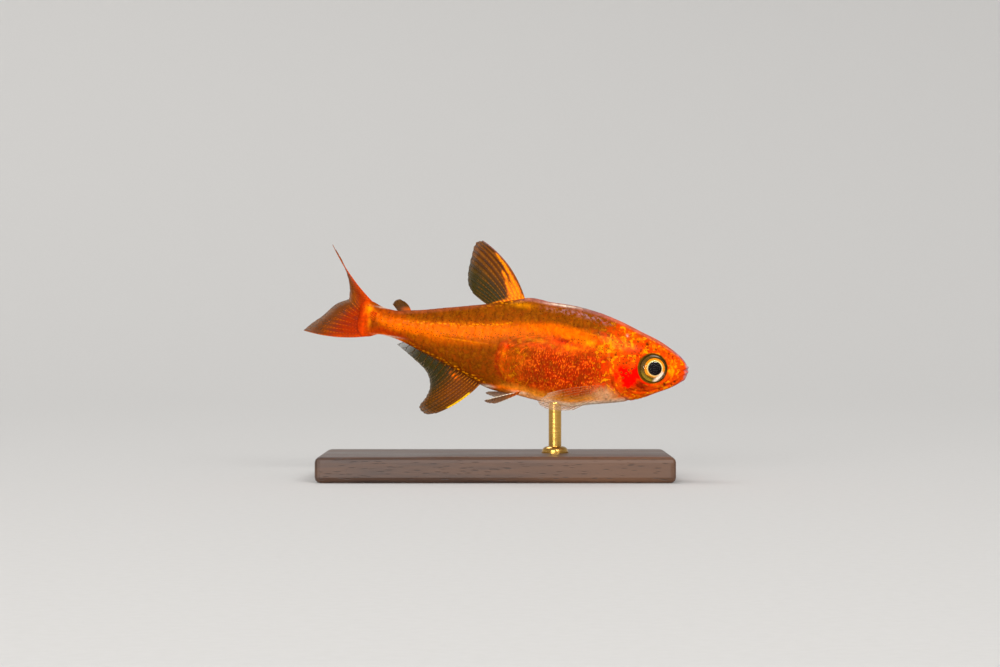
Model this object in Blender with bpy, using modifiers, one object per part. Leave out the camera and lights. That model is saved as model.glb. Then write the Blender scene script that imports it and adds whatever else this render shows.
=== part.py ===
"""Ember tetra: a still, life-size display model, held over a plain base by one short rod.

The fish is modelled level in a frame of its own: snout at the origin, head towards +X, back up, right side
facing -Y. Stations count from the snout towards the tail, and heights from the line through the snout. An
empty then tips the whole fish head-down over the stand, whose underside is the floor plane.
Measures are millimetres until a point becomes a vertex.
"""

import math

import bmesh
import bpy
import numpy as np
from mathutils import Vector

MM = 0.001
GAP = 0.3
SIDE_NAMES = (("right", -1), ("left", 1))

# The fish: standard length 20 mm, about 24.2 mm over all
STANDARD_LENGTH = 20.0
LIP_STATION = -0.10
LIP_HEIGHT = -0.24
PITCH_DOWN = math.radians(8.5)
SNOUT_X = 12.05
SNOUT_Z = 7.0
TAIL_SWAY = 0.7
SWAY_START = 9.0

# Outline seen from the side, as (station, height), and half-width seen from above, as (station, half-width)
# The lines' points are the fewest that give the fish's outline; smooth curves join them.
BACK_LINE = (
    (LIP_STATION, LIP_HEIGHT), (0.01, 0.06), (0.17, 0.29), (0.54, 0.62), (1.23, 1.02), (1.92, 1.35),
    (3.26, 1.80), (4.59, 2.24), (6.56, 2.66), (7.85, 2.77), (9.13, 2.77), (10.41, 2.84), (11.32, 2.57),
    (13.03, 2.07), (15.30, 1.51), (17.76, 0.95), (18.70, 0.81), (19.60, 0.94), (20.25, 1.17),
)
BELLY_LINE = (
    (LIP_STATION, LIP_HEIGHT), (-0.07, -0.50), (0.01, -0.77), (0.29, -1.03), (0.86, -1.46), (1.45, -1.77),
    (2.63, -2.41), (3.84, -2.80), (5.69, -3.24), (6.91, -3.55), (8.18, -3.54), (10.12, -3.35), (12.58, -3.06),
    (13.40, -2.72), (14.75, -2.17), (16.75, -1.49), (18.75, -0.89), (19.50, -0.83), (20.25, -1.09),
)
HALF_WIDTH_LINE = (
    (LIP_STATION, 0.0), (0.0, 0.26), (0.3, 0.45), (1.2, 0.83), (2.5, 1.12), (4.5, 1.30), (6.5, 1.40),
    (9.0, 1.26), (12.0, 1.00), (15.0, 0.71), (18.0, 0.45), (19.3, 0.36), (20.25, 0.26),
)
WIDEST_SHARE = 0.52
BACK_ROUNDNESS = 0.90
BELLY_ROUNDNESS = 1.02
SIDES = 42
HEAD_RINGS = 33
TRUNK_RINGS = 27
STEM_END = 20.25

# Head
GILL_ARC = (
    (4.55, 3.20), (4.62, 2.20), (4.93, 1.30), (5.04, -0.31), (4.72, -1.30), (4.35, -1.98), (3.78, -2.41),
    (3.00, -2.74), (2.40, -3.20),
)
GILL_LIFT = 0.15
CHEEK_FRONT = 3.2
CHEEK_REAR = 4.9
EYE_STATION = 2.14
EYE_HEIGHT = -0.40
EYE_RADIUS = 0.86
EYE_BULGE = 0.30
EYE_DEPTH = 0.42
EYE_SEAT = 0.93
EYE_FORWARD = math.radians(8)
ORBIT_RIM = 0.08
PUPIL_RADIUS = 0.44
PUPIL_RISE = 0.05
IRIS_RADIUS = 0.65
IRIS_RISE = 0.03
CHEEK_RIDGE_REACH = 1.95
CHEEK_RIDGE = 0.08
MOUTH_FRONT = (-0.6, 0.0)
MOUTH_BEND = (0.10, -0.22)
MOUTH_CORNER = (0.74, -0.72)
MOUTH_OPENING = 0.12
LIP_SWELL = 0.07
NOSTRILS = ((0.74, 0.33), (0.98, 0.44))
NOSTRIL_RADIUS = 0.13

# Seam between torso and tail: behind the dorsal fin above, ahead of the anal fin below
SEAM_TOP = (13.35, 3.0)
SEAM_BOTTOM = (12.10, -4.0)

# Fins
RAY_THICKNESS = 0.64
PAIRED_THICKNESS = 0.58
MEMBRANE_SHARE = 0.80
EDGE_SHARE = 0.80
TIP_SHARE = 0.42
ROOT_SINK = 0.6
SCALLOP = 0.03

PELVIC_SWING = {"right": 0.55, "left": 0.10}

# Stand
BASE_SIZE = (22.0, 12.0, 1.6)
BASE_EDGE = 0.35
ROD_X = 3.74
ROD_RADIUS = 0.4
ROD_SIDES = 24


def clear_scene():
    for old in list(bpy.data.objects):
        bpy.data.objects.remove(old, do_unlink=True)


def new_collection(name):
    collection = bpy.data.collections.new(name)
    bpy.context.scene.collection.children.link(collection)
    return collection


def linear(hex_colour):
    """An sRGB hex colour as linear red, green, blue and alpha."""
    channels = [int(hex_colour[i : i + 2], 16) / 255 for i in (0, 2, 4)]
    return [c / 12.92 if c <= 0.04045 else ((c + 0.055) / 1.055) ** 2.4 for c in channels] + [1.0]


def finish(obj, colour, roughness, metallic=0.0):
    """Gives a piece its own painted or turned surface."""
    material = bpy.data.materials.new(obj.name)
    material.use_nodes = True
    shader = material.node_tree.nodes["Principled BSDF"]
    shader.inputs["Base Color"].default_value = linear(colour)
    shader.inputs["Roughness"].default_value = roughness
    shader.inputs["Metallic"].default_value = metallic
    obj.data.materials.clear()
    obj.data.materials.append(material)
    obj.data.shade_smooth()
    obj.data.set_sharp_from_angle(angle=math.radians(40))


def add_object(name, mesh, collection):
    obj = bpy.data.objects.new(name, mesh)
    collection.objects.link(obj)
    return obj


def add_mesh(name, points, faces, collection):
    """A mesh object from points in millimetres."""
    mesh = bpy.data.meshes.new(name)
    mesh.from_pydata([Vector(p) * MM for p in points], [], faces)
    return add_object(name, mesh, collection)


def move_new_object(name, collection):
    """Names the primitive just added and moves it to a collection."""
    obj = bpy.context.object
    obj.name = name
    for old in list(obj.users_collection):
        old.objects.unlink(obj)
    collection.objects.link(obj)
    return obj


def as_helper(obj):
    obj.hide_render = True
    obj.display_type = "WIRE"
    return obj


def smooth_step(value, low, high):
    share = min(max((value - low) / (high - low), 0.0), 1.0)
    return share * share * (3 - 2 * share)


def along(line, station):
    """Value at a station on a smooth curve through a line's points, drawn against the root of the station so
    that the blunt snout stays round."""
    places = np.sqrt(np.array([point[0] for point in line]) - LIP_STATION)
    values = np.array([point[1] for point in line])
    slopes = np.gradient(values, places)
    place = math.sqrt(max(station - LIP_STATION, 0.0))
    i = int(np.clip(np.searchsorted(places, place) - 1, 0, len(places) - 2))
    width = places[i + 1] - places[i]
    t = (place - places[i]) / width
    start = (2 * t**3 - 3 * t**2 + 1) * values[i] + (t**3 - 2 * t**2 + t) * width * slopes[i]
    end = (3 * t**2 - 2 * t**3) * values[i + 1] + (t**3 - t**2) * width * slopes[i + 1]
    return float(start + end)


def path_through(points, count):
    """Evenly numbered places on a smooth path through a few points of any dimension."""
    points = np.array(points, float)
    slopes = np.gradient(points, axis=0)
    made = []
    for place in np.linspace(0, len(points) - 1, count):
        i = min(int(place), len(points) - 2)
        t = place - i
        start = (2 * t**3 - 3 * t**2 + 1) * points[i] + (t**3 - 2 * t**2 + t) * slopes[i]
        end = (3 * t**2 - 2 * t**3) * points[i + 1] + (t**3 - t**2) * slopes[i + 1]
        made.append(start + end)
    return made


def sway(station):
    """How far the body's midline lies off the straight, as the rear half curves to the left."""
    share = max(station - SWAY_START, 0.0) / (STANDARD_LENGTH - SWAY_START)
    return TAIL_SWAY * share**1.8


def fish_point(station, side, height):
    """A point of the fish in its own frame."""
    return Vector((-station, side + sway(station), height))


def section(station, grow=0.0):
    """(centre height, height above it, depth below it, half-width) of the body at a station."""
    top = along(BACK_LINE, station) + grow
    bottom = along(BELLY_LINE, station) - grow
    centre = bottom + WIDEST_SHARE * (top - bottom)
    return centre, top - centre, centre - bottom, along(HALF_WIDTH_LINE, station) + grow


def bump(distance, width):
    return math.exp(-((distance / width) ** 2))


def off_mouth_line(station, height):
    """Distance from the line between the mouth's front and its corner."""
    start = Vector(MOUTH_FRONT)
    run = Vector(MOUTH_CORNER) - start
    share = min(max((Vector((station, height)) - start).dot(run) / run.length_squared, 0.0), 1.0)
    return (Vector((station, height)) - start - run * share).length


def head_relief(station, height):
    """How far the head's skin stands out: gill cover, cheek ridge, eye rim and lips."""
    cover = GILL_LIFT * smooth_step(station, CHEEK_FRONT, CHEEK_REAR) * smooth_step(1.9 - height, 0.0, 0.7)
    off_eye = math.hypot(station - EYE_STATION, height - EYE_HEIGHT)
    behind_eye = smooth_step(station - height, 1.6, 2.6)
    ridge = CHEEK_RIDGE * bump(off_eye - CHEEK_RIDGE_REACH, 0.22) * behind_eye
    rim = ORBIT_RIM * bump(off_eye - EYE_RADIUS - GAP - 0.1, 0.16)
    lips = LIP_SWELL * bump(off_mouth_line(station, height) - 0.16, 0.12)
    return cover + ridge + rim + lips


def body_point(station, angle, grow=0.0, relief=False):
    """A point of the skin: angle 0 is the right side's widest line, a quarter turn the back's ridge."""
    centre, above, below, half_width = section(station, grow)
    power = BACK_ROUNDNESS if math.sin(angle) > 0 else BELLY_ROUNDNESS
    reach = above if math.sin(angle) > 0 else below
    side = -half_width * math.copysign(abs(math.cos(angle)) ** power, math.cos(angle))
    height = centre + reach * math.sin(angle)
    if relief:
        out = head_relief(station, height)
        side -= out * math.cos(angle)
        height += 0.5 * out * math.sin(angle)
    return fish_point(station, side, height)


def body_stations():
    """Ring places: crowded at the blunt snout, then even along the head and wider along the trunk."""
    nose = [LIP_STATION + 0.11**2 * k**2 for k in range(1, 8)]
    head = list(np.linspace(nose[-1], 5.2, HEAD_RINGS - 6)[1:])
    trunk = list(np.linspace(5.2, STEM_END, TRUNK_RINGS)[1:])
    return nose + head + trunk


def loft(name, rings, collection):
    """Skins a row of like rings and closes both ends with fans."""
    count = len(rings[0])
    points = [point for ring in rings for point in ring]
    faces = []
    for r in range(len(rings) - 1):
        for k in range(count):
            a, b = r * count + k, r * count + (k + 1) % count
            faces.append((a, b, b + count, a + count))
    for start, turn in ((0, 1), (len(points) - count, -1)):
        centre = len(points)
        points.append(sum((Vector(points[start + k]) for k in range(count)), Vector()) / count)
        for k in range(count):
            faces.append((centre, start + (k + 1) % count, start + k)[::turn])
    return add_mesh(name, points, faces, collection)


def body(name, collection, grow=0.0, relief=False, stations=None):
    """The whole body as one closed skin."""
    angles = [2 * math.pi * (k + 0.5) / SIDES - math.pi / 2 for k in range(SIDES)]
    rings = [[body_point(s, a, grow, relief) for a in angles] for s in stations or body_stations()]
    obj = loft(name, rings, collection)
    turn_faces_out(obj.data)
    return obj


def turn_faces_out(mesh):
    work = bmesh.new()
    work.from_mesh(mesh)
    bmesh.ops.recalc_face_normals(work, faces=work.faces)
    work.to_mesh(mesh)
    work.free()


def surfaces_of(work):
    """The separate surfaces of a bmesh, as sets of faces."""
    left = set(work.faces)
    found = []
    while left:
        edge_of_search = [left.pop()]
        surface = set(edge_of_search)
        while edge_of_search:
            face = edge_of_search.pop()
            for edge in face.edges:
                for other in edge.link_faces:
                    if other in left:
                        left.discard(other)
                        surface.add(other)
                        edge_of_search.append(other)
        found.append(surface)
    return found


def keep_largest_surface(mesh):
    work = bmesh.new()
    work.from_mesh(mesh)
    surfaces = sorted(surfaces_of(work), key=lambda faces: sum(face.calc_area() for face in faces))
    loose = [face for faces in surfaces[:-1] for face in faces]
    bmesh.ops.delete(work, geom=loose, context="FACES")
    work.to_mesh(mesh)
    work.free()


def settle(obj):
    """Replaces an object's mesh by what its modifiers make of it."""
    bpy.context.view_layer.update()
    graph = bpy.context.evaluated_depsgraph_get()
    mesh = bpy.data.meshes.new_from_object(obj.evaluated_get(graph))
    obj.modifiers.clear()
    obj.data = mesh
    mesh.name = obj.name


def carve(obj, cutters, operation="DIFFERENCE"):
    """Cuts a piece by each helper in turn, or keeps what lies inside them, and drops loose scraps."""
    for cutter in cutters:
        cut = obj.modifiers.new(cutter.name, "BOOLEAN")
        cut.operation = operation
        cut.object = cutter
    settle(obj)
    keep_largest_surface(obj.data)


def side_outline(name, outline, collection):
    """A helper solid: an outline in (station, height), as wide as the fish and more."""
    flat = bpy.data.curves.new(name, "CURVE")
    flat.dimensions = "2D"
    flat.fill_mode = "BOTH"
    flat.extrude = 5 * MM
    spline = flat.splines.new("POLY")
    spline.points.add(len(outline) - 1)
    for point, (station, height) in zip(spline.points, outline):
        point.co = (-station * MM, height * MM, 0, 1)
    spline.use_cyclic_u = True
    curve = add_object(name, flat, collection)
    curve.rotation_euler = (math.radians(90), 0, 0)
    bpy.context.view_layer.update()
    mesh = bpy.data.meshes.new_from_object(curve.evaluated_get(bpy.context.evaluated_depsgraph_get()))
    mesh.transform(curve.matrix_world)
    bpy.data.objects.remove(curve, do_unlink=True)
    work = bmesh.new()
    work.from_mesh(mesh)
    bmesh.ops.remove_doubles(work, verts=work.verts, dist=1e-7)
    bmesh.ops.recalc_face_normals(work, faces=work.faces)
    work.to_mesh(mesh)
    work.free()
    return as_helper(add_object(name, mesh, collection))


def gill_outline(shift):
    """The head's side of the gill opening, closed well ahead of the snout; shift moves the edge tailwards."""
    edge = path_through(GILL_ARC, 21)
    moved = []
    for k, point in enumerate(edge):
        run = edge[min(k + 1, len(edge) - 1)] - edge[max(k - 1, 0)]
        run /= np.linalg.norm(run)
        moved.append(point + shift * np.array((-run[1], run[0])))
    return moved + [np.array((-2.0, -5.0)), np.array((-2.0, 5.0))]


def seam_outline(shift):
    """Everything behind the seam of torso and tail; shift moves the seam tailwards."""
    (top, high), (bottom, low) = SEAM_TOP, SEAM_BOTTOM
    return [(top + shift, high), (bottom + shift, low), (23.0, low), (23.0, high)]


def mouth_outline():
    """A thin wedge from ahead of the lips to the mouth's corner."""
    (front, high), (corner, low) = MOUTH_FRONT, MOUTH_CORNER
    half = MOUTH_OPENING / 2
    bend, middle = MOUTH_BEND
    upper = [(front, high + half), (bend, middle + half), (corner, low)]
    return upper + [(bend, middle - half), (front, high - half)]


def eye_profile(grow):
    """The turned profile of the eye, or with grow of its cup, from front to back pole as (radius, distance
    outwards). The eye's pupil and iris stand up from it as two low steps."""
    steps = 12
    points = []
    for k in range(2 * steps + 1):
        angle = k / steps * math.pi / 2
        radius = math.sin(angle) * (EYE_RADIUS + grow)
        out = math.cos(angle) * ((EYE_BULGE if k < steps else EYE_DEPTH) + grow)
        if k < steps and not grow:
            out += PUPIL_RISE * smooth_step(PUPIL_RADIUS - radius, -0.06, 0.0)
            out += IRIS_RISE * smooth_step(IRIS_RADIUS - radius, -0.06, 0.0)
        points.append((radius, out))
    return points


def eye(name, side, collection, grow=0.0):
    """An eyeball, or with grow the cup it sits in. Side is -1 on the right and 1 on the left."""
    mesh = bpy.data.meshes.new(name)
    profile = eye_profile(grow)
    points = [(radius * MM, 0, out * MM) for radius, out in profile]
    mesh.from_pydata(points, [(k, k + 1) for k in range(len(points) - 1)], [])
    obj = add_object(name, mesh, collection)
    turn = obj.modifiers.new("Turn", "SCREW")
    turn.steps = 24
    turn.render_steps = 24
    turn.use_merge_vertices = True
    turn.merge_threshold = 1e-6
    settle(obj)
    turn_faces_out(obj.data)
    obj.location = fish_point(EYE_STATION, side * EYE_SEAT, EYE_HEIGHT) * MM
    outward = Vector((math.sin(EYE_FORWARD), side * math.cos(EYE_FORWARD), 0.06))
    obj.rotation_mode = "QUATERNION"
    obj.rotation_quaternion = outward.to_track_quat("Z", "Y")
    return obj


def nostril(name, station, height, side, collection):
    """A small ball that sinks a nostril into the snout."""
    centre, above, _, half_width = section(station)
    rise = min(max((height - centre) / above, -1.0), 1.0)
    out = side * half_width * math.sqrt(1 - rise * rise) ** BACK_ROUNDNESS
    bpy.ops.mesh.primitive_uv_sphere_add(segments=12, ring_count=8, radius=NOSTRIL_RADIUS * MM)
    ball = move_new_object(name, collection)
    ball.location = fish_point(station, out, height) * MM
    return as_helper(ball)


def bent_ray(root, tip, bow, t):
    """Place at share t of a ray that leaves root for tip and bows by a vector at its middle."""
    root, tip, bow = Vector(root), Vector(tip), Vector(bow)
    return root.lerp(tip, t) + bow * 4 * t * (1 - t)


def fin(name, rays, collection, steps=8, thickness=RAY_THICKNESS, membrane=MEMBRANE_SHARE):
    """A fin of rays, each (root, tip, bow) in (station, side, height), with a membrane column between two.

    The sheet is thickest along its rays and thins towards its tips. Its root starts below the skin, to be cut
    back to the skin afterwards."""
    columns = []
    for k, (root, tip, bow) in enumerate(rays):
        columns.append((root, tip, bow, 1.0, EDGE_SHARE if k in (0, len(rays) - 1) else 1.0))
        if k + 1 < len(rays):
            root_b, tip_b, bow_b = rays[k + 1]
            middle = [(Vector(a) + Vector(b)) / 2 for a, b in ((root, root_b), (tip, tip_b), (bow, bow_b))]
            columns.append((*middle, 1.0 - SCALLOP, membrane))
    points = []
    weights = []
    for root, tip, bow, reach, share in columns:
        start = -ROOT_SINK / (Vector(tip) - Vector(root)).length
        for row in range(steps + 1):
            t = start + (reach - start) * row / steps
            points.append(fish_point(*bent_ray(root, tip, bow, t)))
            weights.append(share * (1 - (1 - TIP_SHARE) * max(t, 0.0) ** 3))
    faces = []
    for column in range(len(columns) - 1):
        for row in range(steps):
            a = column * (steps + 1) + row
            b = a + steps + 1
            faces += [(a, b, b + 1), (a, b + 1, a + 1)]
    obj = add_mesh(name, points, faces, collection)
    group = obj.vertex_groups.new(name="thickness")
    for index, weight in enumerate(weights):
        group.add([index], min(weight, 1.0), "REPLACE")
    shell = obj.modifiers.new("Thickness", "SOLIDIFY")
    shell.thickness = thickness * MM
    shell.offset = 0
    shell.vertex_group = group.name
    settle(obj)
    turn_faces_out(obj.data)
    return obj


def fan(base, margin, bows, count):
    """Rays from even places along a base to even places along a margin, with bows that change evenly."""
    roots = path_through(base, count)
    tips = path_through(margin, count)
    bends = path_through(bows, count)
    return [tuple(map(tuple, ray)) for ray in zip(roots, tips, bends)]


def dorsal_rays():
    base = ((10.74, 0, 2.72), (12.97, 0, 2.05))
    margin = (
        (14.10, 0.10, 5.95), (14.42, 0.20, 5.00), (14.52, 0.25, 3.95), (14.40, 0.22, 3.15),
        (14.02, 0.10, 2.62),
    )
    bows = ((-0.28, 0, 0.36), (-0.10, 0.05, 0.10), (0, 0, -0.03))
    return fan(base, margin, bows, 11)


def adipose_rays():
    base = ((17.72, 0, 0.94), (18.50, 0, 0.78))
    margin = ((18.22, 0, 1.46), (18.52, 0.04, 1.56), (18.80, 0.06, 1.42), (18.92, 0.05, 1.18))
    bows = ((-0.05, 0, 0.04), (0, 0, 0))
    return fan(base, margin, bows, 4)


def anal_rays():
    base = ((12.75, 0, -2.98), (14.75, 0, -2.13), (17.85, 0, -1.08))
    margin = (
        (15.55, 0.25, -5.34), (16.20, 0.32, -4.98), (15.80, 0.30, -3.72), (15.98, 0.22, -2.92),
        (16.75, 0.15, -2.30), (17.65, 0.08, -1.78), (18.45, 0.04, -1.32),
    )
    bows = ((-0.22, 0, -0.22), (-0.10, 0, -0.14), (-0.02, 0, -0.05), (0, 0, 0))
    return fan(base, margin, bows, 16)


def caudal_upper_rays():
    """The upper lobe, rolled about its leading edge so that its chord runs across the fish."""
    base = ((20.20, 0, 1.10), (20.38, 0, 0.62), (20.38, 0, 0.24))
    margin = (
        (23.18, 0.75, 4.31), (22.62, 1.25, 3.62), (22.16, 1.42, 2.80), (21.80, 1.15, 1.90),
        (21.62, 0.62, 1.22),
    )
    bows = ((0.10, -0.10, -0.16), (0.02, 0.02, -0.16), (0, -0.02, -0.06))
    return fan(base, margin, bows, 9)


def caudal_lower_rays():
    """The lower lobe, which turns its flat to the right side as it sweeps back."""
    base = ((20.38, 0, -0.06), (20.38, 0, -0.50), (20.22, 0, -1.04))
    margin = (
        (21.72, 0.50, 0.90), (22.46, 0.80, 0.50), (23.16, 1.10, -0.28), (23.80, 1.35, -0.80),
        (24.22, 1.50, -1.30),
    )
    bows = ((0, -0.02, -0.04), (0, -0.10, 0.02), (0, -0.20, -0.10))
    return fan(base, margin, bows, 9)


def pectoral_rays(side):
    """A fan swept back and down, held off the flank."""
    base = ((5.02, side * 1.02, -1.92), (4.92, side * 0.92, -2.16), (4.80, side * 0.82, -2.36))
    margin = (
        (8.50, side * 2.25, -2.92), (8.98, side * 2.35, -3.52), (8.50, side * 2.10, -3.84),
        (7.60, side * 1.84, -3.86), (6.75, side * 1.52, -3.70),
    )
    bows = ((0, side * 0.16, 0.14), (0, side * 0.14, 0.06), (0, side * 0.08, -0.02))
    return fan(base, margin, bows, 9)


def pelvic_rays(side, swing):
    """A slender fin swept back below the belly; swing lowers its tip."""
    base = ((10.28, side * 0.50, -3.12), (10.36, side * 0.28, -3.30))
    margin = (
        (12.10, side * 1.02, -3.30 - swing), (12.30, side * 0.92, -3.42 - swing),
        (12.05, side * 0.62, -3.50 - swing), (11.60, side * 0.36, -3.60 - 0.8 * swing),
    )
    bows = ((0.05, side * 0.06, 0), (0, side * 0.02, -0.04))
    return fan(base, margin, bows, 7)


def build_body(parts, helpers):
    """Head, torso and tail from one skin, parted at the gill covers and before the anal fin."""
    head = body("head", parts, relief=True)
    torso = body("torso", parts)
    tail = body("tail", parts)
    ahead_of_gill = side_outline("ahead_of_gill", gill_outline(0.0), helpers)
    ahead_of_torso = side_outline("ahead_of_torso", gill_outline(GAP), helpers)
    behind_torso = side_outline("behind_torso", seam_outline(0.0), helpers)
    behind_seam = side_outline("behind_seam", seam_outline(GAP), helpers)
    mouth = side_outline("mouth_wedge", mouth_outline(), helpers)
    cups = [as_helper(eye(f"eye_cup_{label}", side, helpers, GAP)) for label, side in SIDE_NAMES]
    pits = [
        nostril(f"nostril_{label}_{k}", station, height, side, helpers)
        for label, side in SIDE_NAMES
        for k, (station, height) in enumerate(NOSTRILS)
    ]
    carve(head, [ahead_of_gill], "INTERSECT")
    carve(head, [mouth, *cups, *pits])
    carve(torso, [ahead_of_torso, behind_torso])
    carve(tail, [behind_seam], "INTERSECT")
    finish(head, "F0561A", 0.35)
    finish(torso, "D9701C", 0.38)
    finish(tail, "D8741E", 0.38)
    return [head, torso, tail]


def build_eyes(parts):
    eyes = [eye(f"eye_{label}", side, parts) for label, side in SIDE_NAMES]
    for obj in eyes:
        finish(obj, "1A1210", 0.12)
    return eyes


def build_fins(parts, near_skin):
    """Every fin, cut back to the gap round the body."""
    fins = [
        (fin("dorsal_fin", dorsal_rays(), parts), "C87A28"),
        (fin("adipose_fin", adipose_rays(), parts, steps=4, thickness=0.5, membrane=1.0), "7A4A1C"),
        (fin("anal_fin", anal_rays(), parts), "C8782A"),
        (fin("caudal_fin_upper", caudal_upper_rays(), parts, steps=10), "D8481C"),
        (fin("caudal_fin_lower", caudal_lower_rays(), parts, steps=10), "C8501E"),
    ]
    for label, side in SIDE_NAMES:
        swing = PELVIC_SWING[label]
        pectoral = fin(f"pectoral_fin_{label}", pectoral_rays(side), parts, thickness=PAIRED_THICKNESS)
        pelvic = fin(f"pelvic_fin_{label}", pelvic_rays(side, swing), parts, 6, PAIRED_THICKNESS)
        fins += [(pectoral, "C8905A"), (pelvic, "A88A60")]
    for obj, colour in fins:
        carve(obj, [near_skin])
        finish(obj, colour, 0.4)
    return [obj for obj, _ in fins]


def build_base(parts):
    """A flat plate with rounded edges, its underside on the floor plane."""
    bpy.ops.mesh.primitive_cube_add(size=MM, location=(0, 0, BASE_SIZE[2] / 2 * MM), scale=BASE_SIZE)
    bpy.ops.object.transform_apply(location=False, scale=True)
    base = move_new_object("stand_base", parts)
    edge = base.modifiers.new("Edge", "BEVEL")
    edge.width = BASE_EDGE * MM
    edge.segments = 3
    finish(base, "3A2418", 0.45)


def build_rod(parts, near_skin):
    """A round rod from the base to the belly, its top hollowed to the belly's curve."""
    bottom = BASE_SIZE[2] + GAP
    height = SNOUT_Z - bottom
    middle = Vector((ROD_X, 0, bottom + height / 2)) * MM
    bpy.ops.mesh.primitive_cylinder_add(
        vertices=ROD_SIDES, radius=ROD_RADIUS * MM, depth=height * MM, location=middle
    )
    rod = move_new_object("stand_rod", parts)
    carve(rod, [near_skin])
    finish(rod, "B08A48", 0.25, 1.0)


def main():
    clear_scene()
    parts = new_collection("ember_tetra")
    helpers = new_collection("cutters")
    pose = add_object("fish_pose", None, parts)
    near_skin = as_helper(body("near_skin", helpers, grow=GAP))
    fish = build_body(parts, helpers) + build_eyes(parts) + build_fins(parts, near_skin)
    for obj in fish + [near_skin]:
        obj.parent = pose
    pose.location = (SNOUT_X * MM, 0, SNOUT_Z * MM)
    pose.rotation_euler = (0, PITCH_DOWN, 0)
    bpy.context.view_layer.update()
    build_base(parts)
    build_rod(parts, near_skin)


main()
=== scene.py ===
"""Ember tetra display model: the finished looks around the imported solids.

The fish is built level in its own frame and then tipped head-down over its stand. Stations count from the snout
towards the tail, sides towards the fish's left and heights from the line through the snout, all in millimetres
until a point becomes a vertex.
"""

import math

import bpy
import numpy as np
from bpy.props import FloatProperty, FloatVectorProperty, IntProperty, PointerProperty
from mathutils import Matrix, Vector


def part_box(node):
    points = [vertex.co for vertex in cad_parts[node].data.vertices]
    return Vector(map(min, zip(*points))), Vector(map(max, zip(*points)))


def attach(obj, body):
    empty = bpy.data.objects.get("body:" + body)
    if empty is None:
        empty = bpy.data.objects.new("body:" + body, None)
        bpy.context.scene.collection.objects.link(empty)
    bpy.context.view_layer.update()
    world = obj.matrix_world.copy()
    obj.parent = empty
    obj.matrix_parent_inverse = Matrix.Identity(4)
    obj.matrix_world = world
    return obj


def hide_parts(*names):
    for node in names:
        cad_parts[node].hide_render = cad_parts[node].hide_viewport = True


bl_info = {
    "name": "Ember Tetra Display Model",
    "version": (1, 0, 0),
    "blender": (4, 5, 0),
    "location": "View3D > Sidebar > Ember Tetra",
    "description": "Skin, scales, eyes, fins and stand of a life-size ember tetra",
    "category": "Object",
}

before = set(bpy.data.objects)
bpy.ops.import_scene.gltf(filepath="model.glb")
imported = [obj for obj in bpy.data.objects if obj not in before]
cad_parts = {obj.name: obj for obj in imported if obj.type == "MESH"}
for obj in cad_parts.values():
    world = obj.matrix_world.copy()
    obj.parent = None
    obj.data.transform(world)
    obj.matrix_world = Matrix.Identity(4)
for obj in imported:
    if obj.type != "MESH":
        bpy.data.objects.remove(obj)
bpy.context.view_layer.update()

MM = 0.001
SIDES = (("right", -1), ("left", 1))

# The fish's frame, as in the solids
STANDARD_LENGTH = 20.0
LIP_STATION = -0.10
LIP_HEIGHT = -0.24
PITCH_DOWN = math.radians(8.5)
SNOUT_X = 12.05
SNOUT_Z = 7.0
TAIL_SWAY = 0.7
SWAY_START = 9.0

# Outline from the side as (station, height) and half-width from above; the last point of each is inside the tail fin
BACK_LINE = (
    (LIP_STATION, LIP_HEIGHT), (0.01, 0.06), (0.17, 0.29), (0.54, 0.62), (1.23, 1.02), (1.92, 1.35), (
        3.26, 1.80
    ),
    (4.59, 2.24), (6.56, 2.66), (7.85, 2.77), (9.13, 2.77), (10.41, 2.84), (11.32, 2.57), (13.03, 2.07),
    (15.30, 1.51), (17.76, 0.95), (18.70, 0.81), (19.60, 0.94), (20.25, 1.17), (20.60, 1.16), (20.95, 0.80),
)
BELLY_LINE = (
    (LIP_STATION, LIP_HEIGHT), (-0.07, -0.50), (0.01, -0.77), (0.29, -1.03), (0.86, -1.46), (1.45, -1.77),
    (2.63, -2.41), (3.84, -2.80), (5.69, -3.24), (6.91, -3.55), (8.18, -3.54), (10.12, -3.35), (12.58, -3.06),
    (13.40, -2.72), (14.75, -2.17), (16.75, -1.49), (18.75, -0.89), (19.50, -0.83), (20.25, -1.09), (
        20.60, -1.06
    ),
    (20.95, -0.62),
)
HALF_WIDTH_LINE = (
    (LIP_STATION, 0.0), (0.0, 0.26), (0.3, 0.45), (1.2, 0.83), (2.5, 1.12), (4.5, 1.30), (6.5, 1.40), (
        9.0, 1.26
    ),
    (12.0, 1.00), (15.0, 0.71), (18.0, 0.45), (19.3, 0.34), (20.0, 0.22), (20.4, 0.13), (20.95, 0.015),
)
WIDEST_SHARE = 0.52
BACK_ROUNDNESS = 0.90
BELLY_ROUNDNESS = 1.02

# Head
GILL_ARC = (
    (4.55, 3.20), (4.62, 2.20), (4.93, 1.30), (5.04, -0.31), (4.72, -1.30), (4.35, -1.98), (3.78, -2.41),
    (3.00, -2.74), (2.40, -3.20),
)
GILL_LIFT = 0.11
EYE_STATION = 2.14
EYE_HEIGHT = -0.40
EYE_SEAT = 0.93
EYE_FORWARD = math.radians(8)
MOUTH_LINE = ((-0.6, 0.0), (0.10, -0.22), (0.48, -0.50), (0.74, -0.78))
JAW_LINE = ((0.55, -0.95), (1.20, -1.42), (1.90, -1.74), (2.75, -1.98), (3.40, -1.92))
COVER_SEAM = ((2.95, -1.85), (3.45, -1.72), (4.05, -1.42), (4.62, -0.92))
CHEEK_ARC = ((2.95, 0.62), (3.35, 0.10), (3.46, -0.60), (3.30, -1.20), (2.95, -1.62), (2.45, -1.80))
NOSTRILS = ((0.74, 0.33), (0.98, 0.44))
TAIL_TIP = 20.95

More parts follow.
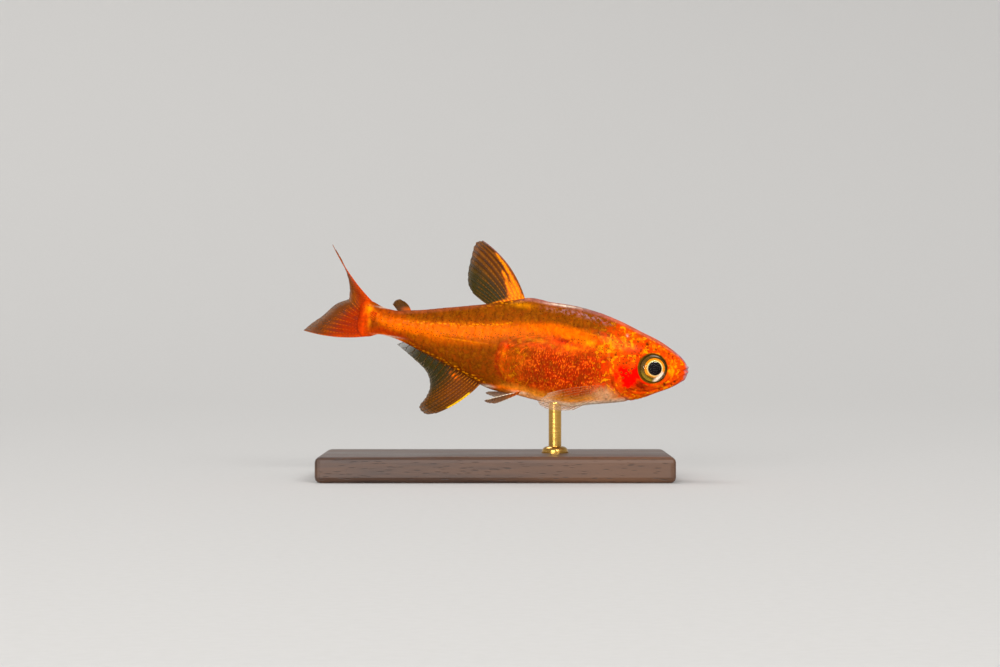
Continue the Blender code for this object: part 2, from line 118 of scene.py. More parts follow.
# The orange band along the flank, as (station, height) and half its height
BAND_LINE = (
    (5.0, 0.86), (5.7, 0.88), (8.9, 1.05), (10.0, 0.95), (11.0, 0.66), (13.0, 0.26), (15.1, 0.03), (
        17.0, -0.13
    ),
    (18.4, -0.09), (19.4, 0.08), (20.3, 0.56), (20.9, 0.80),
)
BAND_HALF = (
    (5.0, 0.42), (5.7, 0.40), (8.9, 0.40), (10.0, 0.36), (11.0, 0.42), (13.0, 0.38), (15.1, 0.36), (
        17.0, 0.33
    ),
    (19.2, 0.28), (20.9, 0.26),
)

# Fins, as each fan's base, margin and bows in (station, side, height), and its number of rays
CAUDAL_BASE = ((20.20, 0, 1.10), (20.38, 0, 0.62), (20.38, 0, 0.09))
FANS = {
    "dorsal_fin": (
        ((10.74, 0, 2.72), (12.97, 0, 2.05)),
        (
            (13.92, 0.09, 5.98), (14.32, 0.15, 5.76), (14.46, 0.22, 4.95), (14.52, 0.25, 3.95), (
                14.40, 0.22, 3.15
            ),
            (14.02, 0.10, 2.62),
        ),
        ((-0.25, 0, 0.32), (-0.10, 0.05, 0.10), (0, 0, -0.03)),
        12,
    ),
    "adipose_fin": (
        ((17.72, 0, 0.94), (18.50, 0, 0.78)),
        ((18.22, 0, 1.46), (18.52, 0.04, 1.56), (18.80, 0.06, 1.42), (18.92, 0.05, 1.18)),
        ((-0.05, 0, 0.04), (0, 0, 0)),
        4,
    ),
    "anal_fin": (
        ((12.75, 0, -2.98), (14.40, 0, -2.28), (17.85, 0, -1.08)),
        (
            (15.25, 0.21, -5.24), (15.86, 0.28, -5.38), (16.32, 0.33, -5.00), (15.98, 0.32, -4.30),
            (15.84, 0.30, -3.55), (16.20, 0.20, -2.72), (17.16, 0.10, -2.00), (18.28, 0.04, -1.30),
        ),
        ((-0.14, 0, -0.15), (-0.08, 0, -0.10), (-0.02, 0, -0.05), (0, 0, 0)),
        19,
    ),
    "caudal_fin_upper": (
        CAUDAL_BASE,
        (
            (23.32, 0.78, 4.38), (22.70, 1.25, 3.62), (22.20, 1.42, 2.80), (21.86, 1.15, 1.90),
            (21.74, 0.58, 1.03),
        ),
        ((0.10, -0.10, -0.16), (0.02, 0.02, -0.16), (0, -0.02, -0.06)),
        9,
    ),
    "caudal_fin_lower": (
        ((20.38, 0, 0.11), (20.38, 0, -0.50), (20.22, 0, -1.04)),
        (
            (21.78, 0.55, 1.08), (22.56, 0.82, 0.64), (23.28, 1.12, -0.18), (23.94, 1.38, -0.78),
            (24.40, 1.52, -1.30),
        ),
        ((0, -0.02, -0.04), (0, -0.10, 0.02), (0, -0.20, -0.22)),
        9,
    ),
}
# Middle and half sizes of the belly cavity in the side view
CAVITY_STATION, CAVITY_HEIGHT = 8.4, -1.10
CAVITY_LONG, CAVITY_TALL = 3.55, 1.85
PELVIC_SWING = {"right": 0.55, "left": 0.10}


def linear(hex_colour):
    """An sRGB hex colour as linear red, green, blue and alpha."""
    channels = [int(hex_colour[i : i + 2], 16) / 255 for i in (0, 2, 4)]
    return [c / 12.92 if c <= 0.04045 else ((c + 0.055) / 1.055) ** 2.4 for c in channels] + [1.0]


def size(name, description, millimetres):
    """A property for a length, shown in the scene's unit."""
    return FloatProperty(
        name=name, description=description, default=millimetres * MM, min=0, unit="LENGTH", precision=6
    )


def colour(name, description, hex_colour):
    """A property for a colour."""
    return FloatVectorProperty(
        name=name, description=description, default=linear(hex_colour), min=0, max=1, size=4, subtype="COLOR"
    )


class EMBER_PG_body(bpy.types.PropertyGroup):
    """Sizes of the skin and its coat of scales"""

    lip_swell: size("Lip swell", "How far the lips stand out", 0.07)
    mouth_depth: size("Mouth depth", "Depth of the closed mouth's cleft", 0.10)
    nostril_radius: size("Nostril radius", "Radius of each nostril", 0.11)
    scale_length: size("Scale spacing", "Distance between two columns of scales at mid-body", 0.56)
    scale_width: size("Scale width", "Distance between two rows of scales at mid-body", 0.50)
    scale_rise: size("Scale rise", "How far a scale's rear edge stands off the skin", 0.006)
    scale_thickness: size("Scale thickness", "Thickness of one scale", 0.008)
    seed: IntProperty(
        name="Seed", description="Seed of the small differences between scales", default=7, min=0
    )


class EMBER_PG_eye(bpy.types.PropertyGroup):
    """Sizes of the eyes"""

    radius: size("Eye radius", "Radius of the whole eye", 0.86)
    iris_radius: size("Iris radius", "Outer radius of the golden ring", 0.65)
    pupil_radius: size("Pupil radius", "Radius of the black pupil", 0.44)
    iris_shift: size("Iris shift", "How far the golden ring sits ahead of the eye's centre", 0.07)
    bulge: size("Cornea bulge", "How far the clear cornea stands out of the eye's seat", 0.30)
    depth: size("Eye depth", "How deep the eyeball goes behind its seat", 0.34)


class EMBER_PG_fins(bpy.types.PropertyGroup):
    """Sizes of the fins"""

    ray_radius: size("Ray radius", "Radius of a fin ray at its root", 0.036)
    ray_tip: size("Ray tip radius", "Radius of a ray's last branches", 0.017)
    joint_spacing: size("Joint spacing", "Distance between two joints of a ray", 0.22)
    web_thickness: size("Membrane thickness", "Thickness of the clear skin between the rays", 0.030)
    pleat: size("Pleat", "How far the membrane folds out between two rays", 0.035)


class EMBER_PG_stand(bpy.types.PropertyGroup):
    """Sizes of the stand"""

    rod_radius: size("Rod radius", "Radius of the brass rod", 0.40)
    collar_radius: size("Collar radius", "Radius of the collar where the rod enters the base", 0.85)
    collar_height: size("Collar height", "Height of that collar", 0.42)


class EMBER_PG_colours(bpy.types.PropertyGroup):
    """Colours of the paint, as on the living fish; salmon, lilac and cream also paint highlights and sheen"""

    back: colour("Back", "Olive brown of the back", "8E4604")
    band: colour("Band", "Bright band along the flank", "F26800")
    flank: colour("Flank", "Amber of the rear flank", "7C3A02")
    belly: colour("Belly", "Green gold above the belly's edge", "F08E22")
    cavity: colour("Belly wall", "Glowing red over the belly cavity", "CC3402")
    ember: colour("Ember", "Bright orange of the streaks over the cavity", "FF6A10")
    gold: colour("Gold", "Golden patches and flecks", "FF9A02")
    head: colour("Head", "Orange of the head", "F25002")
    red: colour("Cheek red", "Pure red of the gill cover", "FB0400")
    dark_red: colour("Dark red", "Dark red below and behind the cheek", "982002")
    # Salmon and lilac also paint a rim highlight along the top edge, and lilac a sheen on the back; cream paints small
    # highlights and brightens the keel as if lit from below
    salmon: colour("Salmon", "Pale rim of the head's top", "DC6A4C")
    lilac: colour("Lilac", "Grey lilac of lips and back sheen", "B08A94")
    cream: colour("Cream", "Bright cream of belly edge and glints", "FFF0D4")
    dots: colour("Dots", "Dark brown of the small pigment dots", "521E04")
    tail_base: colour("Tail root", "Red orange at the tail's root", "E44002")
    olive: colour("Olive", "Dark olive of the fins' membrane and of the eye's outer ring", "342C0C")
    smoke: colour("Smoke", "Grey of the fins' clear margins", "A08A74")
    ring: colour("Eye ring", "Olive brown of the eye's outer ring", "5E420C")
    ray: colour("Ray", "Orange brown of the fin rays", "A0580A")
    web: colour("Fin brown", "Deep orange brown of the fins' membrane near the body", "743604")
    streak: colour("Fin streak", "Bright golden orange of the streaks on the fins", "FFC004")
    pupil: colour("Pupil", "Near black of the pupil", "0C0608")


class EMBER_PG_model(bpy.types.PropertyGroup):
    """All settings of the model"""

    body: PointerProperty(type=EMBER_PG_body)
    eye: PointerProperty(type=EMBER_PG_eye)
    fins: PointerProperty(type=EMBER_PG_fins)
    stand: PointerProperty(type=EMBER_PG_stand)
    colours: PointerProperty(type=EMBER_PG_colours)


def millimetres(group, name):
    """A size of a settings group in millimetres."""
    return getattr(group, name) / MM


def smooth_step(value, low, high):
    share = np.clip((np.asarray(value, float) - low) / (high - low), 0.0, 1.0)
    return share * share * (3 - 2 * share)


def bump(distance, width):
    return np.exp(-((np.asarray(distance, float) / width) ** 2))


def level(line, station):
    """Value at a station on straight runs between a line's points."""
    stations, values = np.array(line).T
    return np.interp(station, stations, values)


def along(line, station):
    """Value at a station on a smooth curve through a line's points, drawn against the root of the station."""
    stations, values = np.array(line).T
    places = np.sqrt(stations - LIP_STATION)
    slopes = np.gradient(values, places)
    place = np.sqrt(np.maximum(np.asarray(station, float) - LIP_STATION, 0.0))
    i = np.clip(np.searchsorted(places, place) - 1, 0, len(places) - 2)
    width = places[i + 1] - places[i]
    t = (place - places[i]) / width
    start = (2 * t**3 - 3 * t**2 + 1) * values[i] + (t**3 - 2 * t**2 + t) * width * slopes[i]
    end = (3 * t**2 - 2 * t**3) * values[i + 1] + (t**3 - t**2) * width * slopes[i + 1]
    return start + end


def path_at(points, share):
    """Places at shares 0 to 1 of a smooth path through a few points."""
    points = np.array(points, float)
    slopes = np.gradient(points, axis=0)
    place = np.asarray(share, float) * (len(points) - 1)
    i = np.clip(place.astype(int), 0, len(points) - 2)
    t = (place - i)[..., None]
    start = (2 * t**3 - 3 * t**2 + 1) * points[i] + (t**3 - 2 * t**2 + t) * slopes[i]
    end = (3 * t**2 - 2 * t**3) * points[i + 1] + (t**3 - t**2) * slopes[i + 1]
    return start + end


def off_line(line, station, height, steps=40):
    """Distance from a smooth line in the side view, positive on the tail's side of it where it runs downwards."""
    path = path_at(line, np.linspace(0, 1, steps))
    station, height = np.asarray(station, float), np.asarray(height, float)
    nearest = np.full(station.shape, 1e9)
    side = np.zeros(station.shape)
    for (a, b), (c, d) in zip(path[:-1], path[1:]):
        run, rise = c - a, d - b
        share = np.clip(((station - a) * run + (height - b) * rise) / (run * run + rise * rise), 0, 1)
        gap = np.hypot(station - a - share * run, height - b - share * rise)
        turn = np.where((station - a) * -rise + (height - b) * run >= 0, 1.0, -1.0)
        closer = gap < nearest
        nearest = np.where(closer, gap, nearest)
        side = np.where(closer, turn, side)
    return nearest * side


def sway(station):
    """How far the body's midline lies off the straight, as the rear half curves to the left."""
    share = np.maximum(np.asarray(station, float) - SWAY_START, 0.0) / (STANDARD_LENGTH - SWAY_START)
    return TAIL_SWAY * share**1.8


def to_fish(station, side, height):
    """Points in the fish's frame, with the body's curve."""
    station, side, height = np.broadcast_arrays(station, side, height)
    return np.stack([-station, side + sway(station), height], axis=-1).astype(float)


def to_world(points):
    """Points of the fish's frame in metres, tipped head-down over the stand."""
    x, y, z = np.moveaxis(np.asarray(points, float), -1, 0)
    c, s = math.cos(PITCH_DOWN), math.sin(PITCH_DOWN)
    return np.stack([SNOUT_X + x * c + z * s, y, SNOUT_Z - x * s + z * c], axis=-1) * MM


def section(station):
    """(centre height, height above it, depth below it, half-width) of the body at stations."""
    top, bottom = along(BACK_LINE, station), along(BELLY_LINE, station)
    centre = bottom + WIDEST_SHARE * (top - bottom)
    return centre, top - centre, centre - bottom, along(HALF_WIDTH_LINE, station)


def body_side_height(station, angle):
    """Side and height of the plain skin: angle 0 is the right side's widest line, a quarter turn the back's ridge."""
    centre, above, below, half_width = section(station)
    upper = np.sin(angle) > 0
    power = np.where(upper, BACK_ROUNDNESS, BELLY_ROUNDNESS)
    side = -half_width * np.sign(np.cos(angle)) * np.abs(np.cos(angle)) ** power
    return side, centre + np.where(upper, above, below) * np.sin(angle)


def body_point(station, angle):
    return to_fish(station, *body_side_height(station, angle))


def body_normal(station, angle):
    """Unit normals of the plain skin, pointing out."""
    step = 1e-3
    station = np.maximum(station, LIP_STATION + 2 * step)
    rearward = body_point(station + step, angle) - body_point(station - step, angle)
    upward = body_point(station, angle + step) - body_point(station, angle - step)
    normal = np.cross(rearward, upward)
    normal /= np.maximum(np.linalg.norm(normal, axis=-1, keepdims=True), 1e-12)
    centre = to_fish(station, 0, section(station)[0])
    outward = np.sum(normal * (body_point(station, angle) - centre), axis=-1, keepdims=True)
    return np.where(outward < 0, -normal, normal)


def head_relief(sizes, station, height, side):
    """How far the skin stands out over the plain body: gill cover and its seams, cheek, lips, mouth and nostrils."""
    gill = off_line(GILL_ARC, station, height)
    inside = 1 - smooth_step(gill, -0.08, 0.05)
    low = 0.3 * smooth_step(1.4 - height, 0.0, 1.2) + 0.7 * smooth_step(0.0 - height, 0.0, 1.2)
    cover = GILL_LIFT * smooth_step(station, 3.2, 4.9) * low * inside
    trench = -0.05 * bump(gill - 0.07, 0.07) * low
    throat = smooth_step(-1.5 - height, 0.0, 0.5) * smooth_step(station, 1.9, 2.6)
    rays = sum(-0.022 * bump(gill + gap, 0.045) for gap in (0.24, 0.45, 0.66)) * throat
    seam = -0.030 * bump(off_line(COVER_SEAM, station, height), 0.05)
    cheek = off_line(CHEEK_ARC, station, height)
    ridge = 0.055 * bump(cheek + 0.12, 0.16) - 0.035 * bump(cheek - 0.05, 0.05)
    jaw = off_line(JAW_LINE, station, height)
    jaw_edge = -0.040 * bump(jaw, 0.05) + 0.030 * bump(np.abs(jaw) - 0.12, 0.08)
    mouth = off_line(MOUTH_LINE, station, height)
    front = 1 - smooth_step(station, 0.15, 0.60)
    lips = millimetres(sizes, "lip_swell") * bump(np.abs(mouth) - 0.13, 0.09) * front
    cleft = -millimetres(sizes, "mouth_depth") * bump(mouth, 0.045) * front
    chin = -0.04 * bump(side, 0.07) * smooth_step(2.6 - station, 0, 0.6) * smooth_step(-1.2 - height, 0, 0.4)
    radius = millimetres(sizes, "nostril_radius")
    pits = np.zeros(np.shape(station))
    for at, high in NOSTRILS:
        off = np.hypot(station - at, height - high)
        pits = pits - 0.13 * bump(off, 0.75 * radius) + 0.035 * bump(off - 1.25 * radius, 0.05)
    behind_eye = np.hypot(station - EYE_STATION, height - EYE_HEIGHT)
    rim = 0.06 * bump(behind_eye - 1.08, 0.12)
    return cover + trench + rays + seam + ridge + jaw_edge + lips + cleft + chin + pits + rim


def eye_axes(side):
    """Centre of an eye in the fish's frame, and its outward, forward and upward directions."""
    outward = np.array((math.sin(EYE_FORWARD), side * math.cos(EYE_FORWARD), 0.06))
    outward /= np.linalg.norm(outward)
    upward = np.array((0.0, 0.0, 1.0)) - outward[2] * outward
    upward /= np.linalg.norm(upward)
    forward = np.cross(outward, upward)
    if forward[0] < 0:
        forward = -forward
    return to_fish(EYE_STATION, side * EYE_SEAT, EYE_HEIGHT), outward, forward, upward


def sink_orbits(points, radius):
    """Presses the eyes' sockets into the skin, with a clean round edge."""
    for _, side in SIDES:
        centre, outward, _, _ = eye_axes(side)
        off = points - centre
        out = off @ outward
        flat = off - out[..., None] * outward
        reach = np.linalg.norm(flat, axis=-1)
        near = (out > -0.7) & (reach < radius + 0.30)
        edge = near & (reach > radius - 0.02) & (reach < radius + 0.065)
        wall = near & (reach <= radius - 0.02) & (reach > radius - 0.09)
        pit = near & (reach <= radius - 0.09)
        new_reach = np.where(edge, radius + 0.03, np.where(wall, radius + 0.005, reach))
        new_out = np.where(wall, -0.12, np.where(pit, -0.42, out))
        new_out = np.where(edge, np.maximum(out, 0.02), new_out)
        share = (new_reach / np.maximum(reach, 1e-6))[..., None]
        moved = centre + flat * share + new_out[..., None] * outward
        points = np.where(near[..., None], moved, points)
    return points


def blots(marks, station, height):
    """A mask from soft oval marks, each (station, height, half-length, half-height, strength)."""
    mask = np.zeros(np.shape(station))
    for at, high, long, tall, strength in marks:
        spot = strength * np.exp(-(((station - at) / long) ** 2) - ((height - high) / tall) ** 2)
        mask = np.maximum(mask, spot)
    return np.clip(mask, 0, 1)


GOLD_MARKS = (
    (0.92, -0.42, 0.18, 0.34, 1.0), (1.00, 0.20, 0.16, 0.14, 0.8), (1.62, 0.80, 0.24, 0.15, 0.9),
    (2.36, 0.98, 0.20, 0.12, 1.0), (3.55, 0.70, 0.16, 0.16, 1.0), (4.30, 0.80, 0.26, 0.40, 0.8),
    (4.90, 0.62, 0.30, 0.50, 0.9), (6.30, 0.60, 0.40, 0.18, 0.9), (3.80, 1.52, 0.30, 0.16, 0.9),
    (3.25, 1.28, 0.14, 0.12, 0.9), (5.5, 0.30, 0.30, 0.24, 0.7),
    (10.9, 2.30, 0.60, 0.16, 0.7), (20.30, 0.66, 0.16, 0.24, 0.9), (20.2, -0.1, 0.10, 0.3, 0.4),
    (1.6, -1.45, 0.40, 0.07, 0.6), (7.4, 0.10, 0.5, 0.14, 0.5), (9.6, 0.25, 0.6, 0.10, 0.5),
    (14.2, -0.42, 1.3, 0.04, 0.5),
)
RED_MARKS = (
    (3.12, -0.80, 0.42, 0.40, 1.3), (3.58, -1.24, 0.54, 0.54, 1.25), (3.95, -0.85, 0.56, 0.48, 0.84),
    (3.62, -1.62, 0.40, 0.28, 0.9), (4.35, -1.20, 0.42, 0.52, 0.6),
)
EMBER_MARKS = (
    (11.36, -0.36, 0.26, 0.20, 0.9), (7.90, 0.45, 0.60, 0.22, 0.7), (6.20, -0.60, 0.40, 0.45, 0.7),
    (9.6, -0.05, 0.60, 0.20, 0.6), (5.3, -0.60, 0.24, 0.40, 0.7), (7.3, -1.9, 0.8, 0.4, 0.5),
)
DARK_MARKS = (
    (3.50, -1.95, 0.40, 0.20, 0.9), (2.74, -1.54, 0.66, 0.36, 1.15), (5.20, -0.25, 0.26, 0.22, 0.9),
    (4.55, -1.50, 0.12, 0.40, 0.6), (7.97, 0.50, 0.50, 0.15, 0.9), (11.82, -1.25, 0.13, 0.90, 0.7),
    (2.36, -1.88, 0.50, 0.07, 0.9), (10.9, -0.10, 0.50, 0.10, 0.5), (5.55, -1.0, 0.14, 0.30, 0.6),
    (1.25, -1.30, 0.16, 0.08, 0.7), (6.6, -2.2, 0.5, 0.2, 0.5), (8.6, -2.5, 0.7, 0.16, 0.5),
    (3.75, -2.25, 0.16, 0.10, 0.7), (9.4, -0.9, 0.3, 0.25, 0.5), (6.2, -0.2, 0.2, 0.2, 0.5),
)
# Patches where pigment dots lie thick on the head
DOTTED_MARKS = (
    (3.12, 0.67, 0.50, 0.42, 0.75), (3.84, -0.27, 0.60, 0.50, 0.85), (5.25, 0.15, 0.60, 0.45, 0.8),
    (4.60, 0.75, 0.50, 0.30, 0.5), (1.60, -1.40, 0.50, 0.25, 0.6), (6.90, 0.55, 0.70, 0.25, 0.6),
)
BROWN_MARKS = (
    (5.50, 1.24, 0.70, 0.10, 1.0), (2.72, 1.12, 0.10, 0.16, 0.8), (4.55, 1.35, 0.16, 0.10, 0.7),
    (7.2, 1.50, 0.7, 0.08, 0.5), (19.98, 0.16, 0.20, 0.26, 0.45),
)
GLINT_MARKS = (
    (4.02, 1.40, 0.07, 0.07, 1.0), (8.20, 2.66, 1.00, 0.06, 0.9), (10.15, -3.13, 0.44, 0.08, 0.6),
    (18.9, -0.86, 0.60, 0.05, 0.9), (19.3, 0.88, 0.50, 0.05, 0.6), (12.25, -3.04, 0.34, 0.08, 0.9),
)
# Single pigment spots of the head, as (station, height, radius)
HEAD_SPOTS = (
    (2.16, 0.78, 0.06), (2.74, 1.04, 0.07), (2.68, 0.78, 0.05), (3.10, 0.62, 0.05), (3.16, 0.42, 0.04),
    (3.56, 0.16, 0.05), (3.40, -0.02, 0.05), (3.06, 0.10, 0.05), (3.86, -0.28, 0.05), (3.48, -0.62, 0.06),
    (3.52, -0.88, 0.06), (4.06, -0.36, 0.05), (4.34, 0.70, 0.05), (1.30, -1.24, 0.08), (1.56, -1.62, 0.06),
    (0.66, -1.02, 0.07), (0.84, -1.22, 0.05), (1.02, 0.52, 0.05), (1.30, 0.66, 0.05), (4.62, 0.10, 0.06),
    (4.86, -0.12, 0.06), (4.92, 0.98, 0.05), (5.10, 0.42, 0.05), (3.88, 1.02, 0.05), (3.34, 1.12, 0.05),
    (3.66, -0.74, 0.05), (3.80, -0.98, 0.06), (3.62, -1.10, 0.04), (3.98, -0.62, 0.05), (3.34, -0.52, 0.04),
    (4.10, -0.92, 0.05), (3.94, -1.24, 0.05), (3.40, 0.44, 0.04), (3.26, 0.24, 0.04), (3.62, 0.36, 0.04),
    (3.86, 0.14, 0.04), (3.72, -0.16, 0.04),
)


def tints(palette):
    """The palette's colours by name, as linear red, green and blue."""
    names = [name for name in palette.bl_rna.properties.keys() if name not in ("rna_type", "name")]
    return {name: np.array(getattr(palette, name))[:3] for name in names}


def markings(palette, station, height):
    """The fish's painted pattern at stations and heights: a colour, with painted highlights along the top edge, on the
    keel and in a few glints, and masks for what the paint adds to it: red on the cheek, golden mottling, pigment dots,
    golden dashes, specks and wisps over the cavity, scale edges and a painted lilac sheen on scale centres near the
    back. Skin and scales take it."""
    tint = tints(palette)
    below_top = along(BACK_LINE, station) - height
    above_keel = height - along(BELLY_LINE, station)
    spots = blots([(at, high, 1.2 * r, 1.2 * r, 1.0) for at, high, r in HEAD_SPOTS], station, height)
    band_gap = height - level(BAND_LINE, station)
    band_half = level(BAND_HALF, station)
    behind_head = smooth_step(station, 4.4, 5.6)
    paint = np.empty(np.shape(station) + (3,))
    paint[:] = tint["head"]

    def lay(name, mask):
        nonlocal paint
        paint = paint + (tint[name] - paint) * np.clip(mask, 0, 1)[..., None]

    gill = off_line(GILL_ARC, station, height)
    trunk = smooth_step(gill, -0.4, 0.7)
    upper = smooth_step(band_gap - band_half, -0.25, 0.35)
    lay("flank", trunk)
    lay("back", trunk * upper)
    lay("dots", 0.14 * trunk * upper * smooth_step(station, 10.0, 12.5))
    lay("tail_base", 0.25 * smooth_step(station, 17.5, 19.2))
    lay("tail_base", 0.75 * smooth_step(station, 19.6, 20.5))
    lay("flank", 0.75 * bump(station - 19.95, 0.35))
    lay("tail_base", 0.45 * smooth_step(station, 15.5, 20.2) * (1 - smooth_step(above_keel, 0.15, 0.7)))
    oval = np.abs((station - CAVITY_STATION) / CAVITY_LONG) ** 2.5
    oval += np.abs((height - CAVITY_HEIGHT) / CAVITY_TALL) ** 2.5
    cavity = smooth_step(gill, -0.1, 0.6) * (1 - smooth_step(oval, 0.72, 1.16))
    lay("cavity", cavity)
    lay("ember", cavity * 0.36 * smooth_step(height, -0.9, 0.1))
    lay("flank", cavity * 0.88 * smooth_step(station, 8.4, 10.0))
    lay("band", cavity * 0.22 * smooth_step(station, 9.0, 10.6) * smooth_step(height, -2.0, -0.4))
    lay("dark_red", cavity * 0.55 * smooth_step(-height, 0.7, 1.4) * (1 - smooth_step(station, 9.4, 10.8)))
    # A dark line follows the cavity's rear wall, inside a paler one
    lay("band", cavity * 0.50 * bump(oval - 0.78, 0.10) * smooth_step(station, 9.5, 10.5))
    lay(
        "dark_red",
        0.45 * bump(oval - 1.02, 0.07) * smooth_step(station, 10.6, 11.2)
        * (1 - smooth_step(height, -0.3, 0.2)),
    )
    lay("flank", cavity * 0.55 * (1 - smooth_step(height, -2.8, -1.9)))
    band = behind_head * smooth_step(band_half - np.abs(band_gap), -0.26, 0.26)
    lower = smooth_step(station, 11.5, 12.5) * (1 - smooth_step(station, 16.0, 18.0))
    lay("band", 0.45 * bump(band_gap + 1.55 * band_half, 0.34) * lower)
    lay(
        "band",
        0.45 * bump(band_gap - 1.15 * band_half, 0.22) * smooth_step(station, 10.0, 12.0)
        * (1 - smooth_step(station, 18.4, 19.6)),
    )
    lay("band", band * (1 - smooth_step(station, 20.4, 20.8)))
    lay("dark_red", 0.85 * smooth_step(station, 20.50, 20.95))
    lay("belly", trunk * (1 - smooth_step(above_keel, 0.25, 0.85)) * (1 - smooth_step(station, 10.4, 12.0)))
    # The pale cream strip along the keel is the belly's own pale edge, painted brighter as if lit from below
    keel = (
        smooth_step(gill, -0.25, 0.25) * (1 - 0.85 * smooth_step(station, 7.6, 9.4))
        * (1 - smooth_step(station, 9.8, 11.4))
    )
    lay("cream", keel * (1 - smooth_step(above_keel, 0.08, 0.36)))
    # A dark line and an orange one run along the anal fin's root
    anal = smooth_step(station, 12.2, 12.9) * (1 - smooth_step(station, 17.6, 18.4))
    bead_line = 0.11 + 0.16 * (1 - smooth_step(station, 12.4, 14.8))
    lay("dots", 0.45 * anal * bump(above_keel - bead_line - 0.15, 0.12))
    lay("dots", 0.30 * anal * (1 - smooth_step(above_keel - bead_line, -0.12, 0.0)))
    # Light catches the lower edge before the anal fin and behind it, with a dark line above it on the tail
    stalk = smooth_step(station, 17.4, 18.3) * (1 - smooth_step(station, 19.6, 20.2))
    lay("dark_red", 0.50 * stalk * bump(above_keel - 0.26, 0.13))
    lay("band", 0.80 * stalk * (1 - smooth_step(above_keel, 0.04, 0.14)))
    lay("band", 0.80 * bump(station - 11.2, 1.0) * bump(height + 3.00, 0.14))
    lay("tail_base", 0.40 * (1 - smooth_step(station, 0.3, 1.5)))
    lay("tail_base", 0.80 * bump(station - 3.0, 0.7) * bump(height - 0.45, 0.5))
    lay("red", 0.35 * bump(station - 3.1, 0.8) * bump(height - 0.55, 0.5))
    lay("tail_base", 0.75 * bump(station - 4.2, 1.2) * bump(height - 0.35, 1.0))
    lay("back", 0.48 * bump(station - 3.3, 1.0) * bump(height - 1.45, 0.35))
    lay("red", 0.75 * blots(EMBER_MARKS, station, height))
    shadow = blots(DARK_MARKS, station, height)
    lay("dark_red", shadow)
    breast = trunk * bump(station - 4.9, 0.75) * bump(height + 2.55, 0.42)
    pale = np.clip(1.6 * breast + keel * (1 - smooth_step(above_keel, 0.2, 0.6)), 0, 1)
    lay("belly", 0.9 * breast)
    lay("cream", 0.32 * breast)
    lay(
        "band", 0.8 * (1 - trunk) * (1 - smooth_step(above_keel, 0.15, 0.36)) * smooth_step(station, 1.2, 2.0)
    )
    # Clear olive skin rings the eye, with a red rim below and behind it
    reach = np.hypot(station - EYE_STATION - 0.05, height - EYE_HEIGHT)
    lay(
        "red",
        0.75 * bump(reach - 1.04, 0.06) * smooth_step(station - EYE_STATION - height + EYE_HEIGHT, 0.3, 1.0),
    )
    socket = 1 - smooth_step(reach, 0.93, 0.99)
    lay("ring", socket)
    lay("gold", blots(GOLD_MARKS, station, height))
    lay("dots", 0.85 * blots(BROWN_MARKS, station, height))
    lay("dots", spots)
    # Painted rim highlight along the top edge: salmon over the head, lilac and salmon along the back
    rim = 1 - smooth_step(below_top, 0.10, 0.30)
    lay("salmon", 0.9 * rim * (1 - smooth_step(station, 5.0, 7.0)) * smooth_step(station, 0.3, 0.9))
    front = 1 - smooth_step(station, 0.7, 1.3)
    lay("lilac", 0.8 * front * (1 - smooth_step(below_top, 0.04, 0.16)))
    lay(
        "lilac",
        0.7 * front * (1 - smooth_step(above_keel, 0.04, 0.14)) * (1 - smooth_step(station, 0.3, 0.7)),
    )
    lay("lilac", 0.34 * rim * smooth_step(station, 4.5, 6.5) * (1 - smooth_step(station, 9.5, 12.0)))
    lay("salmon", 0.35 * rim * smooth_step(station, 6.0, 8.0) * (1 - smooth_step(station, 9.5, 11.5)))
    lay("salmon", 0.22 * rim * smooth_step(station, 12.0, 14.0) * (1 - smooth_step(station, 18.0, 19.5)))
    lay("lilac", 0.95 * (1 - smooth_step(station, 0.05, 0.20)) * smooth_step(height, -1.1, -0.7))
    lay("cream", 0.9 * blots(GLINT_MARKS, station, height))
    behind = trunk * smooth_step(band_gap - band_half, 0.0, 0.3)
    rear = smooth_step(station, 10.8, 12.0) * (1 - smooth_step(station, 17.2, 18.4))
    dashes = 0.9 * bump(band_gap - 1.18 * band_half, 0.10) * rear
    dashes = np.maximum(dashes, bump(below_top - 0.10, 0.14) * bump(station - 11.9, 1.1))
    dashes = np.maximum(
        dashes, bump(above_keel - bead_line, 0.10) * anal * (1 - 0.6 * smooth_step(station, 14.5, 16.5))
    )
    dotted = (
        bump(band_gap + 0.66 * band_half, 0.18) * smooth_step(station, 9.0, 11.0)
        * (1 - smooth_step(station, 18.0, 20.0))
    )
    sparkle = cavity * smooth_step(station, 5.0, 6.2) * (1 - smooth_step(station, 9.4, 10.8))
    ribs = cavity * smooth_step(station, 8.8, 10.2) * smooth_step(height, -2.4, -1.2)
    mottled = np.maximum(1 - trunk, 1 - smooth_step(station, 5.0, 6.6) + 0.25 * cavity)
    blush = blots(RED_MARKS, station, height) * (1 - 0.9 * spots)
    plain = (1 - rim) * (1 - blush) * (1 - socket) * (1 - 0.85 * shadow) * (1 - spots)
    freckle = (
        blots(DOTTED_MARKS, station, height) + 0.95 * dotted + 0.06 * band
        + 0.34 * behind * smooth_step(station, 6.0, 8.0) + 0.16 * trunk
    )
    gleam = mottled * (1 - 0.6 * upper * trunk) + 0.12 * band + 0.09
    bare = (1 - rim) * (1 - socket)
    nape = smooth_step(station, 4.8, 5.8) * (1 - smooth_step(station, 8.0, 10.0))
    return {
        "paint": paint,
        "blush": blush * (1 - socket),
        "gleam": np.clip(gleam, 0, 1) * plain * (1 - 0.85 * pale),
        "freckle": np.clip(freckle, 0, 1) * bare * smooth_step(above_keel, 0.3, 0.7) * (1 - 0.7 * pale),
        "dash": np.clip(dashes, 0, 1),
        "sparkle": sparkle * smooth_step(-height, -0.4, 0.7) * smooth_step(height, -2.9, -2.2),
        "ribs": ribs,
        "net": np.clip(0.03 + 0.27 * behind, 0, 1) * (1 - smooth_step(station, 18.5, 20.0)),
        "sheen": behind * bump(below_top - 0.46, 0.14) * nape,
    }


